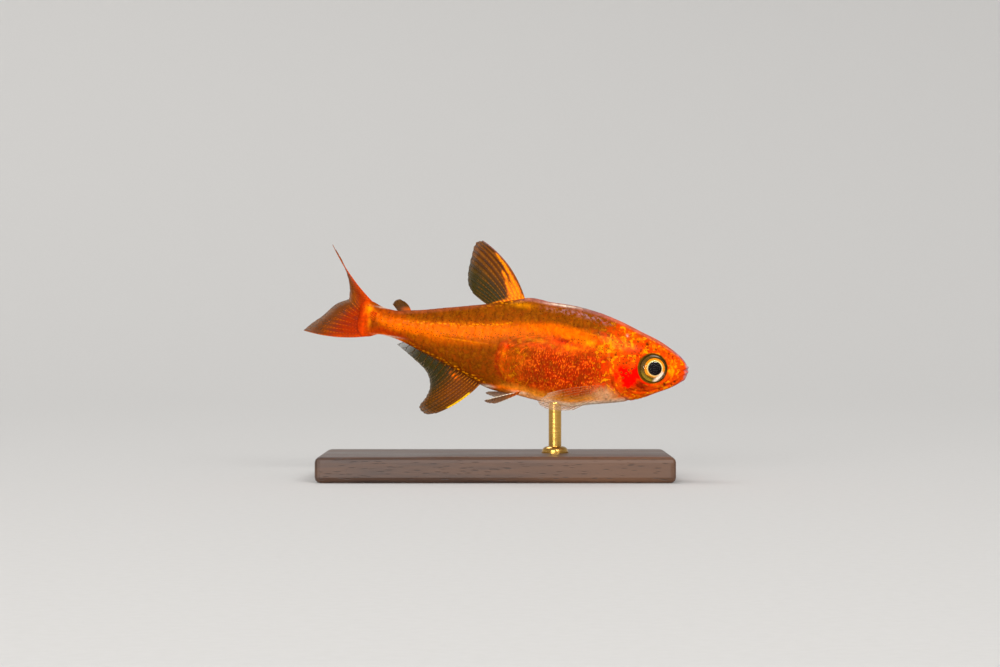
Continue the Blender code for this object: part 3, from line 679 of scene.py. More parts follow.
def add_mesh(name, points, faces, materials, face_materials=None):
    """A smooth mesh object from points in metres."""
    mesh = bpy.data.meshes.new(name)
    mesh.from_pydata(np.asarray(points, float).reshape(-1, 3).tolist(), [], faces)
    obj = bpy.data.objects.new(name, mesh)
    bpy.context.scene.collection.objects.link(obj)
    for material in materials:
        mesh.materials.append(material)
    if face_materials is not None:
        mesh.polygons.foreach_set("material_index", np.asarray(face_materials, np.int32))
    mesh.shade_smooth()
    return obj


def store(obj, **values):
    """Keeps values per vertex on a mesh: numbers, or rows of three as colours or places."""
    for name, value in values.items():
        value = np.asarray(value, np.float32)
        if value.ndim == 1:
            obj.data.attributes.new(name, "FLOAT", "POINT").data.foreach_set("value", value)
        elif name == "paint":
            rgba = np.concatenate([value, np.ones((len(value), 1), np.float32)], axis=1)
            obj.data.attributes.new(name, "FLOAT_COLOR", "POINT").data.foreach_set("color", rgba.ravel())
        else:
            obj.data.attributes.new(name, "FLOAT_VECTOR", "POINT").data.foreach_set("vector", value.ravel())


def store_map(obj, places):
    """A UV map named OFBake from one place per vertex."""
    corners = np.empty(len(obj.data.loops), np.int32)
    obj.data.loops.foreach_get("vertex_index", corners)
    layer = obj.data.uv_layers.new(name="OFBake")
    layer.data.foreach_set("uv", np.asarray(places, np.float32)[corners].ravel())


def grid_faces(rows, columns, start=0, wrap=False):
    """Quads of a grid of vertices laid row by row, joined round its rows where wrap is set."""
    faces = []
    for r in range(rows - 1):
        for c in range(columns if wrap else columns - 1):
            a, b = start + r * columns + c, start + r * columns + (c + 1) % columns
            faces.append((a, b, b + columns, a + columns))
    return faces


def tube_faces(rings, around, start=0):
    """Faces of a row of rings closed at both ends, whose two end points follow the rings."""
    faces = grid_faces(rings, around, start=start, wrap=True)
    near, far, last = start + rings * around, start + rings * around + 1, start + (rings - 1) * around
    for k in range(around):
        after = (k + 1) % around
        faces += [(near, start + after, start + k), (far, last + k, last + after)]
    return faces


def with_ends(points):
    """All points of a row of rings, then the middles of its first and last ring."""
    return np.concatenate([points.reshape(-1, 3), points[0].mean(0)[None], points[-1].mean(0)[None]])


def sheet_faces(rows, columns):
    """Faces of a closed thin sheet from two grids of vertices: its upper side, its lower side and its rim."""
    count = rows * columns
    lower = [face[::-1] for face in grid_faces(rows, columns, start=count)]
    loop = (
        list(range(columns))
        + [r * columns + columns - 1 for r in range(1, rows)]
        + [(rows - 1) * columns + c for c in range(columns - 2, -1, -1)]
        + [r * columns for r in range(rows - 2, 0, -1)]
    )
    rim = [(b, a, a + count, b + count) for a, b in zip(loop, loop[1:] + loop[:1])]
    return grid_faces(rows, columns) + lower + rim


def settle_piece(obj, *nodes, slot):
    """Puts a finished piece on the model's one body, in place of its solids."""
    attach(obj, "root")
    if nodes:
        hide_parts(*nodes)
    return obj


# Settings of the nodes that the materials use most. A map range's inputs are value, from, to, start and end
SMOOTH = {"interpolation_type": "SMOOTHSTEP"}
TIMES = {"operation": "MULTIPLY"}
TINTED = {"data_type": "RGBA"}
SHADED = {"data_type": "RGBA", "blend_type": "MULTIPLY"}


def connect(tree, made, links):
    """Sets a node's inputs by name or number, from values, sockets or the nodes before it."""
    for name, value in links.items():
        if isinstance(value, bpy.types.Node):
            value = value.outputs[0]
        if isinstance(value, bpy.types.NodeSocket):
            tree.links.new(value, made.inputs[name])
        else:
            made.inputs[name].default_value = value


def node(tree, kind, links=None, **settings):
    """Adds a node with its settings and links."""
    made = tree.nodes.new(kind)
    for name, value in settings.items():
        setattr(made, name, value)
    connect(tree, made, links or {})
    return made


def new_material(name):
    """A material with its tree and its shader, named for what the real surface is."""
    material = bpy.data.materials.new(name)
    material.use_nodes = True
    return material, material.node_tree, material.node_tree.nodes["Principled BSDF"]


def laid(tree, base, tint, pattern, low, high, *masks):
    """Paint with a colour laid over it where a pattern passes from low to high, as strongly as the masks say."""
    cover = node(tree, "ShaderNodeMapRange", {0: pattern, 1: low, 2: high}, **SMOOTH)
    for mask in masks:
        cover = node(tree, "ShaderNodeMath", {0: cover, 1: mask}, **TIMES)
    return node(tree, "ShaderNodeMix", {0: cover, 6: base, 7: tint}, **TINTED).outputs[2]


def skin_material(palette):
    """Painted cast resin under a clear coat: orange with golden and red mottling, pigment dots, and bright streaks
    over the belly cavity, as deep and moist as a living skin."""
    material, tree, shader = new_material("clear_coated_painted_resin")
    place = node(tree, "ShaderNodeAttribute", attribute_name="fish_mm").outputs["Vector"]
    paint = node(tree, "ShaderNodeAttribute", attribute_name="paint").outputs["Color"]
    mask = {
        name: node(tree, "ShaderNodeAttribute", attribute_name=name).outputs["Fac"]
        for name in ("tone", "gleam", "ribs", "sparkle", "blush", "freckle", "dash", "sheen", "edge", "net")
    }
    cloud = node(tree, "ShaderNodeTexNoise", {"Vector": place, "Scale": 1.3, "Detail": 3.0, "Roughness": 0.6})
    mottle = node(
        tree, "ShaderNodeTexNoise", {"Vector": place, "Scale": 5.0, "Detail": 4.0, "Roughness": 0.65}
    )
    shade = node(tree, "ShaderNodeMapRange", {0: cloud, 1: 0.3, 2: 0.7, 3: 0.84, 4: 1.12}, **SMOOTH)
    fine = node(tree, "ShaderNodeMapRange", {0: mottle, 1: 0.32, 2: 0.68, 3: 0.76, 4: 1.16}, **SMOOTH)
    for factor in (fine, mask["tone"]):
        shade = node(tree, "ShaderNodeMath", {0: shade, 1: factor}, **TIMES)
    base = node(tree, "ShaderNodeMix", {0: 1.0, 6: paint, 7: shade}, **SHADED).outputs[2]
    # Red orange and golden patches, 0.15 to 0.4 mm
    patch = node(
        tree, "ShaderNodeTexNoise",
        {"Vector": place, "Scale": 3.4, "Detail": 3.0, "Roughness": 0.65, "Distortion": 0.6},
    )
    # Patterns of the flanks lie in the side view, so that they don't change through the body's width
    part = node(tree, "ShaderNodeSeparateXYZ", {0: place})
    flat = node(tree, "ShaderNodeCombineXYZ", {0: part.outputs[0], 1: part.outputs[2]})
    # Curved wisps inside the cavity's rear wall, 0.1 to 0.15 mm wide
    middle = (-CAVITY_STATION, -CAVITY_HEIGHT, 0.0)
    centred = node(tree, "ShaderNodeVectorMath", {0: flat, 1: middle}, operation="ADD")
    oval = node(
        tree, "ShaderNodeVectorMath", {0: centred, 1: (1 / CAVITY_LONG, 1 / CAVITY_TALL, 0.0)}, **TIMES
    )
    span = node(tree, "ShaderNodeVectorMath", {0: oval}, operation="LENGTH").outputs["Value"]
    across = node(tree, "ShaderNodeSeparateXYZ", {0: oval})
    turn = node(tree, "ShaderNodeMath", {0: across.outputs[1], 1: across.outputs[0]}, operation="ARCTAN2")
    out = node(tree, "ShaderNodeMath", {0: span, 1: 19.0}, **TIMES)
    around = node(tree, "ShaderNodeMath", {0: turn, 1: 2.6}, **TIMES)
    polar = node(tree, "ShaderNodeCombineXYZ", {0: out, 1: around})
    wisp = node(tree, "ShaderNodeTexNoise", {"Vector": polar, "Scale": 1.0, "Detail": 2.0, "Distortion": 0.6})
    # Specks over the cavity, 0.07 mm by 0.16 mm and upright, bent by the mottling
    way = node(tree, "ShaderNodeVectorMath", {0: mottle.outputs["Color"], 1: (1.5, 1.5, 0.0)}, **TIMES)
    upright = node(tree, "ShaderNodeVectorMath", {0: flat, 1: (11.0, 5.0, 0.0)}, **TIMES)
    bent = node(tree, "ShaderNodeVectorMath", {0: upright, 1: way}, operation="ADD")
    streak = node(tree, "ShaderNodeTexVoronoi", {"Vector": bent, "Scale": 1.0}, voronoi_dimensions="2D")
    for pattern, low, high, where, strength, tint in (
        (patch, 0.52, 0.40, "gleam", 0.85, palette.tail_base),
        (patch, 0.45, 0.34, "gleam", 0.55, palette.cavity),
        (patch, 0.555, 0.63, "gleam", 0.90, palette.gold),
        (wisp, 0.47, 0.36, "ribs", 0.50, palette.web),
        (wisp, 0.56, 0.68, "ribs", 0.60, palette.ember),
        # Broad light and dark clouds over the cavity
        (cloud, 0.50, 0.36, "ribs", 0.60, palette.web),
        (cloud, 0.50, 0.38, "sparkle", 0.70, palette.web),
        (cloud, 0.53, 0.64, "sparkle", 0.75, palette.ember),
        # The gaps between the specks
        (streak.outputs["Distance"], 0.22, 0.55, "sparkle", 0.80, palette.dark_red),
    ):
        base = laid(tree, base, tint, pattern, low, high, mask[where], strength)
    lit = node(tree, "ShaderNodeSeparateColor", {0: streak.outputs["Color"]})
    thick = node(tree, "ShaderNodeMapRange", {0: cloud, 1: 0.34, 2: 0.56, 3: 0.35, 4: 1.0}, **SMOOTH)
    shine = node(tree, "ShaderNodeMapRange", {0: lit.outputs[1], 1: 0.2, 2: 0.9}, **SMOOTH)
    shine = node(tree, "ShaderNodeMath", {0: shine, 1: thick}, **TIMES)
    base = laid(tree, base, palette.ember, streak.outputs["Distance"], 0.42, 0.12, shine, mask["sparkle"])
    # Red spreads over the cheek with a ragged edge
    spread = node(tree, "ShaderNodeMath", {0: mottle, 1: 0.9, 2: mask["blush"]}, operation="MULTIPLY_ADD")
    base = laid(tree, base, palette.red, spread, 0.72, 1.18)
    # Pigment dots, 0.05 mm across and about 0.2 mm apart where they are thickest
    freckle = node(
        tree, "ShaderNodeTexVoronoi", {"Vector": flat, "Scale": 5.0, "Randomness": 0.55}, voronoi_dimensions="2D"
    )
    some = node(tree, "ShaderNodeSeparateColor", {0: freckle.outputs["Color"]})
    chosen = node(tree, "ShaderNodeMath", {0: mask["freckle"], 1: some.outputs[2]}, operation="SUBTRACT")
    chosen = node(tree, "ShaderNodeMapRange", {0: chosen, 1: 0.0, 2: 0.15}, **SMOOTH)
    base = laid(tree, base, palette.dots, freckle.outputs["Distance"], 0.22, 0.10, chosen, 0.8)
    # Golden dashes, 0.15 mm long
    lying = node(tree, "ShaderNodeVectorMath", {0: flat, 1: (3.4, 6.0, 0.0)}, **TIMES)
    dash = node(
        tree, "ShaderNodeTexVoronoi", {"Vector": lying, "Scale": 1.0, "Randomness": 0.7}, voronoi_dimensions="2D"
    )
    uneven = node(tree, "ShaderNodeMapRange", {0: mottle, 1: 0.40, 2: 0.54, 3: 0.30, 4: 1.0}, **SMOOTH)
    base = laid(tree, base, palette.gold, dash.outputs["Distance"], 0.40, 0.22, mask["dash"], uneven)
    # Painted lilac sheen on the scale centres near the back
    base = laid(tree, base, palette.lilac, mottle, 0.46, 0.60, mask["sheen"], 0.55)
    # The scales' rear edges, worn unevenly; on the skin the same mask carries the painted shade in the clefts of mouth
    # and gill cover
    edge = node(tree, "ShaderNodeMapRange", {0: mottle, 1: 0.36, 2: 0.60, 3: 0.25, 4: 1.0}, **SMOOTH)
    for factor in (mask["edge"], mask["net"]):
        edge = node(tree, "ShaderNodeMath", {0: edge, 1: factor}, **TIMES)
    base = node(tree, "ShaderNodeMix", {0: edge, 6: base, 7: palette.dots}, **TINTED).outputs[2]
    grain = node(tree, "ShaderNodeTexNoise", {"Vector": place, "Scale": 12.0, "Detail": 2.0})
    connect(tree, shader, {
        "Base Color": base,
        "Roughness": node(
            tree, "ShaderNodeMapRange", {0: mottle, 1: 0.2, 2: 0.8, 3: 0.30, 4: 0.46}, **SMOOTH
        ),
        "Specular IOR Level": 0.006,
        "Coat Weight": 0.02,
        "Coat Roughness": 0.04,
        "Normal": node(tree, "ShaderNodeBump", {"Height": grain, "Distance": 0.015 * MM, "Strength": 0.25}),
    })
    return material


def ray_material(settings):
    """Tinted resin of the fin rays: jointed, satin and slightly see-through, beaded along its length."""
    material, tree, shader = new_material("satin_tinted_resin_ray")
    paint = node(tree, "ShaderNodeAttribute", attribute_name="paint").outputs["Color"]
    run = node(tree, "ShaderNodeAttribute", attribute_name="run_mm").outputs["Fac"]
    joints = 2 * math.pi / millimetres(settings, "joint_spacing")
    beat = node(tree, "ShaderNodeMath", {0: run, 1: joints}, **TIMES)
    wave = node(tree, "ShaderNodeMath", {0: beat}, operation="SINE")
    shade = node(tree, "ShaderNodeMapRange", {0: wave, 1: -0.9, 2: 0.2, 3: 0.62, 4: 1.12}, **SMOOTH)
    connect(tree, shader, {
        "Base Color": node(tree, "ShaderNodeMix", {0: 1.0, 6: paint, 7: shade}, **SHADED).outputs[2],
        "Alpha": node(tree, "ShaderNodeAttribute", attribute_name="cover").outputs["Fac"],
        "Roughness": 0.36,
        "Specular IOR Level": 0.04,
        "Normal": node(tree, "ShaderNodeBump", {"Height": wave, "Distance": 0.015 * MM, "Strength": 0.5}),
    })
    return material


def web_material():
    """Thin clear resin of the fins' membrane: tinted near the body, clear at the margin, with a wet gloss."""
    material, tree, shader = new_material("thin_clear_resin_membrane")
    place = node(tree, "ShaderNodeAttribute", attribute_name="fish_mm").outputs["Vector"]
    paint = node(tree, "ShaderNodeAttribute", attribute_name="paint").outputs["Color"]
    cover = node(tree, "ShaderNodeAttribute", attribute_name="cover").outputs["Fac"]
    cloud = node(tree, "ShaderNodeTexNoise", {"Vector": place, "Scale": 2.6, "Detail": 3.0})
    shade = node(tree, "ShaderNodeMapRange", {0: cloud, 1: 0.3, 2: 0.7, 3: 0.85, 4: 1.12}, **SMOOTH)
    thick = node(tree, "ShaderNodeMapRange", {0: cloud, 1: 0.25, 2: 0.75, 3: 0.92, 4: 1.06}, **SMOOTH)
    fine = node(tree, "ShaderNodeTexNoise", {"Vector": place, "Scale": 18.0, "Detail": 2.0})
    connect(tree, shader, {
        "Base Color": node(tree, "ShaderNodeMix", {0: 1.0, 6: paint, 7: shade}, **SHADED).outputs[2],
        "Alpha": node(tree, "ShaderNodeMath", {0: cover, 1: thick}, **TIMES),
        "Roughness": 0.24,
        "Specular IOR Level": 0.03,
        "Normal": node(tree, "ShaderNodeBump", {"Height": fine, "Distance": 0.01 * MM, "Strength": 0.3}),
    })
    return material


def eye_material():
    """Glass eye painted from behind: a golden ring with fine fibres, a matt olive surround and a black pupil."""
    material, tree, shader = new_material("painted_glass_eye")
    paint = node(tree, "ShaderNodeAttribute", attribute_name="paint").outputs["Color"]
    ring, clock = (
        node(tree, "ShaderNodeAttribute", attribute_name=name).outputs["Fac"] for name in ("ring_mm", "clock")
    )
    around = node(tree, "ShaderNodeMath", {0: clock, 1: 40.0}, **TIMES)
    out = node(tree, "ShaderNodeMath", {0: ring, 1: 3.0}, **TIMES)
    polar = node(tree, "ShaderNodeCombineXYZ", {0: around, 1: out})
    fibres = node(tree, "ShaderNodeTexNoise", {"Vector": polar, "Scale": 1.0, "Detail": 2.0})
    shade = node(tree, "ShaderNodeMapRange", {0: fibres, 1: 0.3, 2: 0.7, 3: 0.86, 4: 1.10}, **SMOOTH)
    connect(tree, shader, {
        "Base Color": node(tree, "ShaderNodeMix", {0: 1.0, 6: paint, 7: shade}, **SHADED).outputs[2],
        "Roughness": 0.5,
        "Specular IOR Level": 0.06,
        "Normal": node(tree, "ShaderNodeBump", {"Height": fibres, "Distance": 0.01 * MM, "Strength": 0.25}),
    })
    return material


def cornea_material():
    """Clear polished resin dome: sharp small reflections over the painted eye, and no colour of its own."""
    material, tree, shader = new_material("clear_polished_resin")
    tree.nodes.remove(shader)
    clear = node(tree, "ShaderNodeBsdfTransparent")
    gloss = node(tree, "ShaderNodeBsdfGlossy", {"Color": (0.5, 0.5, 0.5, 1.0), "Roughness": 0.03})
    share = node(tree, "ShaderNodeFresnel", {"IOR": 1.18})
    both = node(tree, "ShaderNodeMixShader", {0: share, 1: clear, 2: gloss})
    connect(tree, tree.nodes["Material Output"], {"Surface": both})
    return material


def walnut_material():
    """Satin oiled walnut: straight brown grain along the base, short dark pores and a soft sheen."""
    material, tree, shader = new_material("satin_oiled_walnut")
    spot = node(tree, "ShaderNodeTexCoord").outputs["Object"]
    # Growth rings about 1 mm apart, stretched along the base
    stretched = node(tree, "ShaderNodeVectorMath", {0: spot, 1: (90.0, 900.0, 900.0)}, **TIMES)
    warp = node(
        tree, "ShaderNodeTexNoise", {"Vector": stretched, "Scale": 0.7, "Detail": 4.0, "Roughness": 0.6}
    )
    rings = node(
        tree, "ShaderNodeTexWave", {"Vector": stretched, "Scale": 0.35, "Distortion": 3.5, "Detail": 3.0},
        wave_type="BANDS", bands_direction="Y",
    ).outputs["Fac"]
    ends = {6: linear("2E1A10"), 7: linear("5B3822")}
    base = node(tree, "ShaderNodeMix", {0: rings, **ends}, **TINTED).outputs[2]
    warm = node(tree, "ShaderNodeMapRange", {0: warp, 1: 0.35, 2: 0.7, 3: 0.0, 4: 0.6}, **SMOOTH)
    base = node(tree, "ShaderNodeMix", {0: warm, 6: base, 7: linear("704A2E")}, **TINTED).outputs[2]
    # Pores about 0.08 mm wide and 0.9 mm long
    long = node(tree, "ShaderNodeVectorMath", {0: spot, 1: (1100.0, 9000.0, 9000.0)}, **TIMES)
    pores = node(tree, "ShaderNodeTexVoronoi", {"Vector": long, "Scale": 1.0}).outputs["Distance"]
    base = laid(tree, base, linear("180C06"), pores, 0.30, 0.14, 0.55)
    height = node(tree, "ShaderNodeMapRange", {0: pores, 1: 0.30, 2: 0.14, 3: 0.0, 4: -1.0}, **SMOOTH)
    connect(tree, shader, {
        "Base Color": base,
        "Roughness": node(tree, "ShaderNodeMapRange", {0: warp, 1: 0.3, 2: 0.7, 3: 0.34, 4: 0.5}, **SMOOTH),
        "Coat Weight": 0.15,
        "Coat Roughness": 0.3,
        "Normal": node(tree, "ShaderNodeBump", {"Height": height, "Distance": 0.03 * MM, "Strength": 0.5}),
    })
    return material


def brass_material():
    """Polished, lightly lacquered brass: warm yellow metal with fine turning marks."""
    material, tree, shader = new_material("polished_turned_brass")
    spot = node(tree, "ShaderNodeTexCoord").outputs["Object"]
    # Turning marks 0.1 mm apart round the rod
    turned = node(tree, "ShaderNodeVectorMath", {0: spot, 1: (60.0, 60.0, 9000.0)}, **TIMES)
    marks = node(tree, "ShaderNodeTexNoise", {"Vector": turned, "Scale": 1.0, "Detail": 2.0})
    ends = {6: linear("B98A3C"), 7: linear("D9AE5E")}
    connect(tree, shader, {
        "Base Color": node(tree, "ShaderNodeMix", {0: marks, **ends}, **TINTED).outputs[2],
        "Metallic": 1.0,
        "Roughness": node(tree, "ShaderNodeMapRange", {0: marks, 1: 0.3, 2: 0.7, 3: 0.16, 4: 0.3}, **SMOOTH),
        "Normal": node(tree, "ShaderNodeBump", {"Height": marks, "Distance": 0.01 * MM, "Strength": 0.25}),
    })
    return material


def named_material(name, make, *arguments):
    """The material of that name, made once."""
    return bpy.data.materials.get(name) or make(*arguments)


def skin_stations():
    """Ring places: crowded at the blunt snout, close along the head and wider along the trunk."""
    nose = LIP_STATION + (0.034 * np.arange(1, 25)) ** 2
    head = np.arange(nose[-1] + 0.045, 5.4, 0.045)
    trunk = np.linspace(5.44, TAIL_TIP, 140)
    return np.concatenate([nose, head, trunk])


class EMBER_OT_skin(bpy.types.Operator):
    """Build the fish's whole skin, from lips to tail root, as one closed surface"""

    bl_idname = "ember.skin"
    bl_label = "Skin"

    around = 256

    def execute(self, context):
        settings = context.scene.ember_model
        stations = skin_stations()[:, None]
        angles = (np.arange(self.around) / self.around * 2 * math.pi - math.pi / 2)[None, :]
        side, height = body_side_height(stations, angles)
        station = np.broadcast_to(stations, side.shape)
        relief = head_relief(settings.body, station, height, side)
        # The relief fades towards the very tip, where the rings shrink to a point
        relief = relief * smooth_step(station - LIP_STATION, 0.0, 0.05)
        points = body_point(stations, angles) + body_normal(stations, angles) * relief[..., None]
        points = sink_orbits(points, millimetres(settings.eye, "radius"))
        faces = tube_faces(len(stations), self.around)
        material = named_material("clear_coated_painted_resin", skin_material, settings.colours)
        obj = add_mesh("skin", to_world(with_ends(points)), faces, [material])
        all_stations = np.append(station.ravel(), (station[0, 0], station[-1, 0]))
        all_heights = np.append(height.ravel(), (height[0].mean(), height[-1].mean()))
        marks = markings(settings.colours, all_stations, all_heights)
        place = np.stack([all_stations, np.append(side.ravel(), (0, 0)), all_heights], axis=1)
        cleft = self.cleft_shade(all_stations, all_heights)
        # On the skin the edge attribute holds the painted shade of the clefts
        store(obj, fish_mm=place, edge=cleft, tone=np.ones(len(place)), **marks)
        store_map(
            obj, self.unwrap(all_stations, np.append(np.broadcast_to(angles, side.shape).ravel(), (0, 0)))
        )
        settle_piece(obj, "head", "torso", "tail", slot="skin")
        return {"FINISHED"}

    @staticmethod
    def cleft_shade(station, height):
        """Painted shade: darker paint in the clefts of mouth and gill cover."""
        mouth = bump(off_line(MOUTH_LINE, station, height), 0.045) * (1 - smooth_step(station, 0.15, 0.50))
        gill = bump(off_line(GILL_ARC, station, height) - 0.06, 0.06) * smooth_step(-0.4 - height, 0.0, 0.8)
        return np.clip(2.0 * mouth + 0.8 * gill, 0, 1)

    @staticmethod
    def unwrap(station, angle):
        """The skin laid out flat: length across, girth up."""
        return np.stack([(station - LIP_STATION) / 22.0, (angle + math.pi / 2) / (2 * math.pi)], axis=1)


class EMBER_OT_scales(bpy.types.Operator):
    """Build the overlapping scales of each flank as one coat"""

    bl_idname = "ember.scales"
    bl_label = "Scales"

    rows = 8
    columns = 10

    def execute(self, context):
        settings = context.scene.ember_model
        random = np.random.default_rng(settings.body.seed)
        for label, side in SIDES:
            self.build_coat(settings, label, side, random)
        return {"FINISHED"}

    def places(self, sizes):
        """(station, arc, spacing along, spacing across) of every scale of one flank, with each column's arcs."""
        found = []
        station, column = 3.9, 0
        while station < 20.5:
            long = (
                millimetres(sizes, "scale_length") * float(np.interp(station, (4, 12, 20), (0.95, 1.0, 0.80)))
            )
            wide = (
                millimetres(sizes, "scale_width")
                * float(np.interp(station, (4, 9, 15, 20), (0.92, 1.0, 0.86, 0.66)))
            )
            angles = np.linspace(-math.pi / 2, math.pi / 2, 181)
            ring = body_point(np.full(181, station), angles)
            arcs = np.concatenate([[0], np.cumsum(np.linalg.norm(np.diff(ring, axis=0), axis=1))])
            middle = float(
                np.interp(level(((4, 0.75), (9, 0.75), (14, 0.25), (20.7, 0.1)), station), ring[:, 2], arcs)
            )
            lowest = math.ceil((0.1 * wide - middle) / wide)
            for row in range(lowest, 40):
                arc = middle + (row + 0.5 * (column % 2)) * wide
                if arc < 0.15 * wide:
                    continue
                if arc > arcs[-1] - 0.15 * wide:
                    break
                found.append((station, arc, long, wide, angles, arcs))
            station += long
            column += 1
        return found

    def build_coat(self, settings, label, side, random):
        sizes = settings.body
        rise, thick = millimetres(sizes, "scale_rise"), millimetres(sizes, "scale_thickness")
        share = np.linspace(0, 1, self.rows + 1)[:, None]
        across = np.linspace(-1, 1, self.columns + 1)[None, :]
        all_points, all_places, all_maps, edges, tones = [], [], [], [], []
        faces, count = [], 0
        pattern = sheet_faces(self.rows + 1, self.columns + 1)
        if side < 0:
            pattern = [face[::-1] for face in pattern]
        for station, arc, long, wide, angles, arcs in self.places(sizes):
            jitter = random.uniform(-1, 1, 4)
            length = 1.62 * long * (1 + 0.05 * jitter[0])
            width = 1.20 * wide * (1 + 0.05 * jitter[1])
            root = -0.50 * length
            rear = 0.50 * length * np.sqrt(1 - 0.72 * across**2)
            lengthwise = station + root + (rear - root) * share + 0.02 * jitter[2]
            sideways = arc + 0.5 * width * across * (0.80 + 0.20 * smooth_step(share, 0, 0.5))
            angle = np.interp(sideways, arcs, angles)
            over = np.abs(sideways - np.clip(sideways, 0, arcs[-1]))
            angle = angle + np.where(sideways < 0, -1, 1) * over / 0.35
            if lengthwise.max() > TAIL_TIP - 0.05:
                lengthwise = np.minimum(lengthwise, TAIL_TIP - 0.05)
            if side > 0:
                angle = math.pi - angle
            _, high = body_side_height(station + root + 0.35 * length, angle[0, self.columns // 2])
            if off_line(GILL_ARC, np.array([station + 0.05 * length]), np.array([high]))[0] < 0.16:
                continue
            base = body_point(lengthwise, angle)
            normal = body_normal(lengthwise, angle)
            lift = (
                -0.030 + (rise + 0.030) * smooth_step(share, 0.0, 0.9)
                + 0.010 * np.sin(math.pi * share) * (1 - across**2)
            )
            top = base + normal * lift[..., None]
            under = base + normal * (lift - thick)[..., None]
            flat_side, flat_high = body_side_height(lengthwise, angle)
            place = np.stack(np.broadcast_arrays(lengthwise, flat_side, flat_high), axis=-1).reshape(-1, 3)
            all_points += [top.reshape(-1, 3), under.reshape(-1, 3)]
            all_places += [place, place]
            rim = np.maximum(np.broadcast_to(share, lift.shape), np.abs(across) * share**0.3)
            edge = smooth_step(rim, 0.72, 0.98).ravel()
            edges += [edge, edge]
            tones.append(np.full(2 * edge.size, 1 + 0.035 * jitter[3]))
            patch = EMBER_OT_skin.unwrap(
                np.full(edge.size, station + root), np.full(edge.size, angle[0, self.columns // 2])
            ) + 0.0015 * np.stack(np.broadcast_arrays(2 * share - 1, across), axis=-1).reshape(-1, 2)
            all_maps += [patch, patch]
            faces += [tuple(index + count for index in face) for face in pattern]
            count += 2 * edge.size
        points, place = np.concatenate(all_points), np.concatenate(all_places)
        material = named_material("clear_coated_painted_resin", skin_material, settings.colours)
        obj = add_mesh(f"scales_{label}", to_world(points), faces, [material])
        marks = markings(settings.colours, place[:, 0], place[:, 2])
        store(obj, fish_mm=place, edge=np.concatenate(edges), tone=np.concatenate(tones), **marks)
        store_map(obj, np.concatenate(all_maps))
        settle_piece(obj, slot="skin")


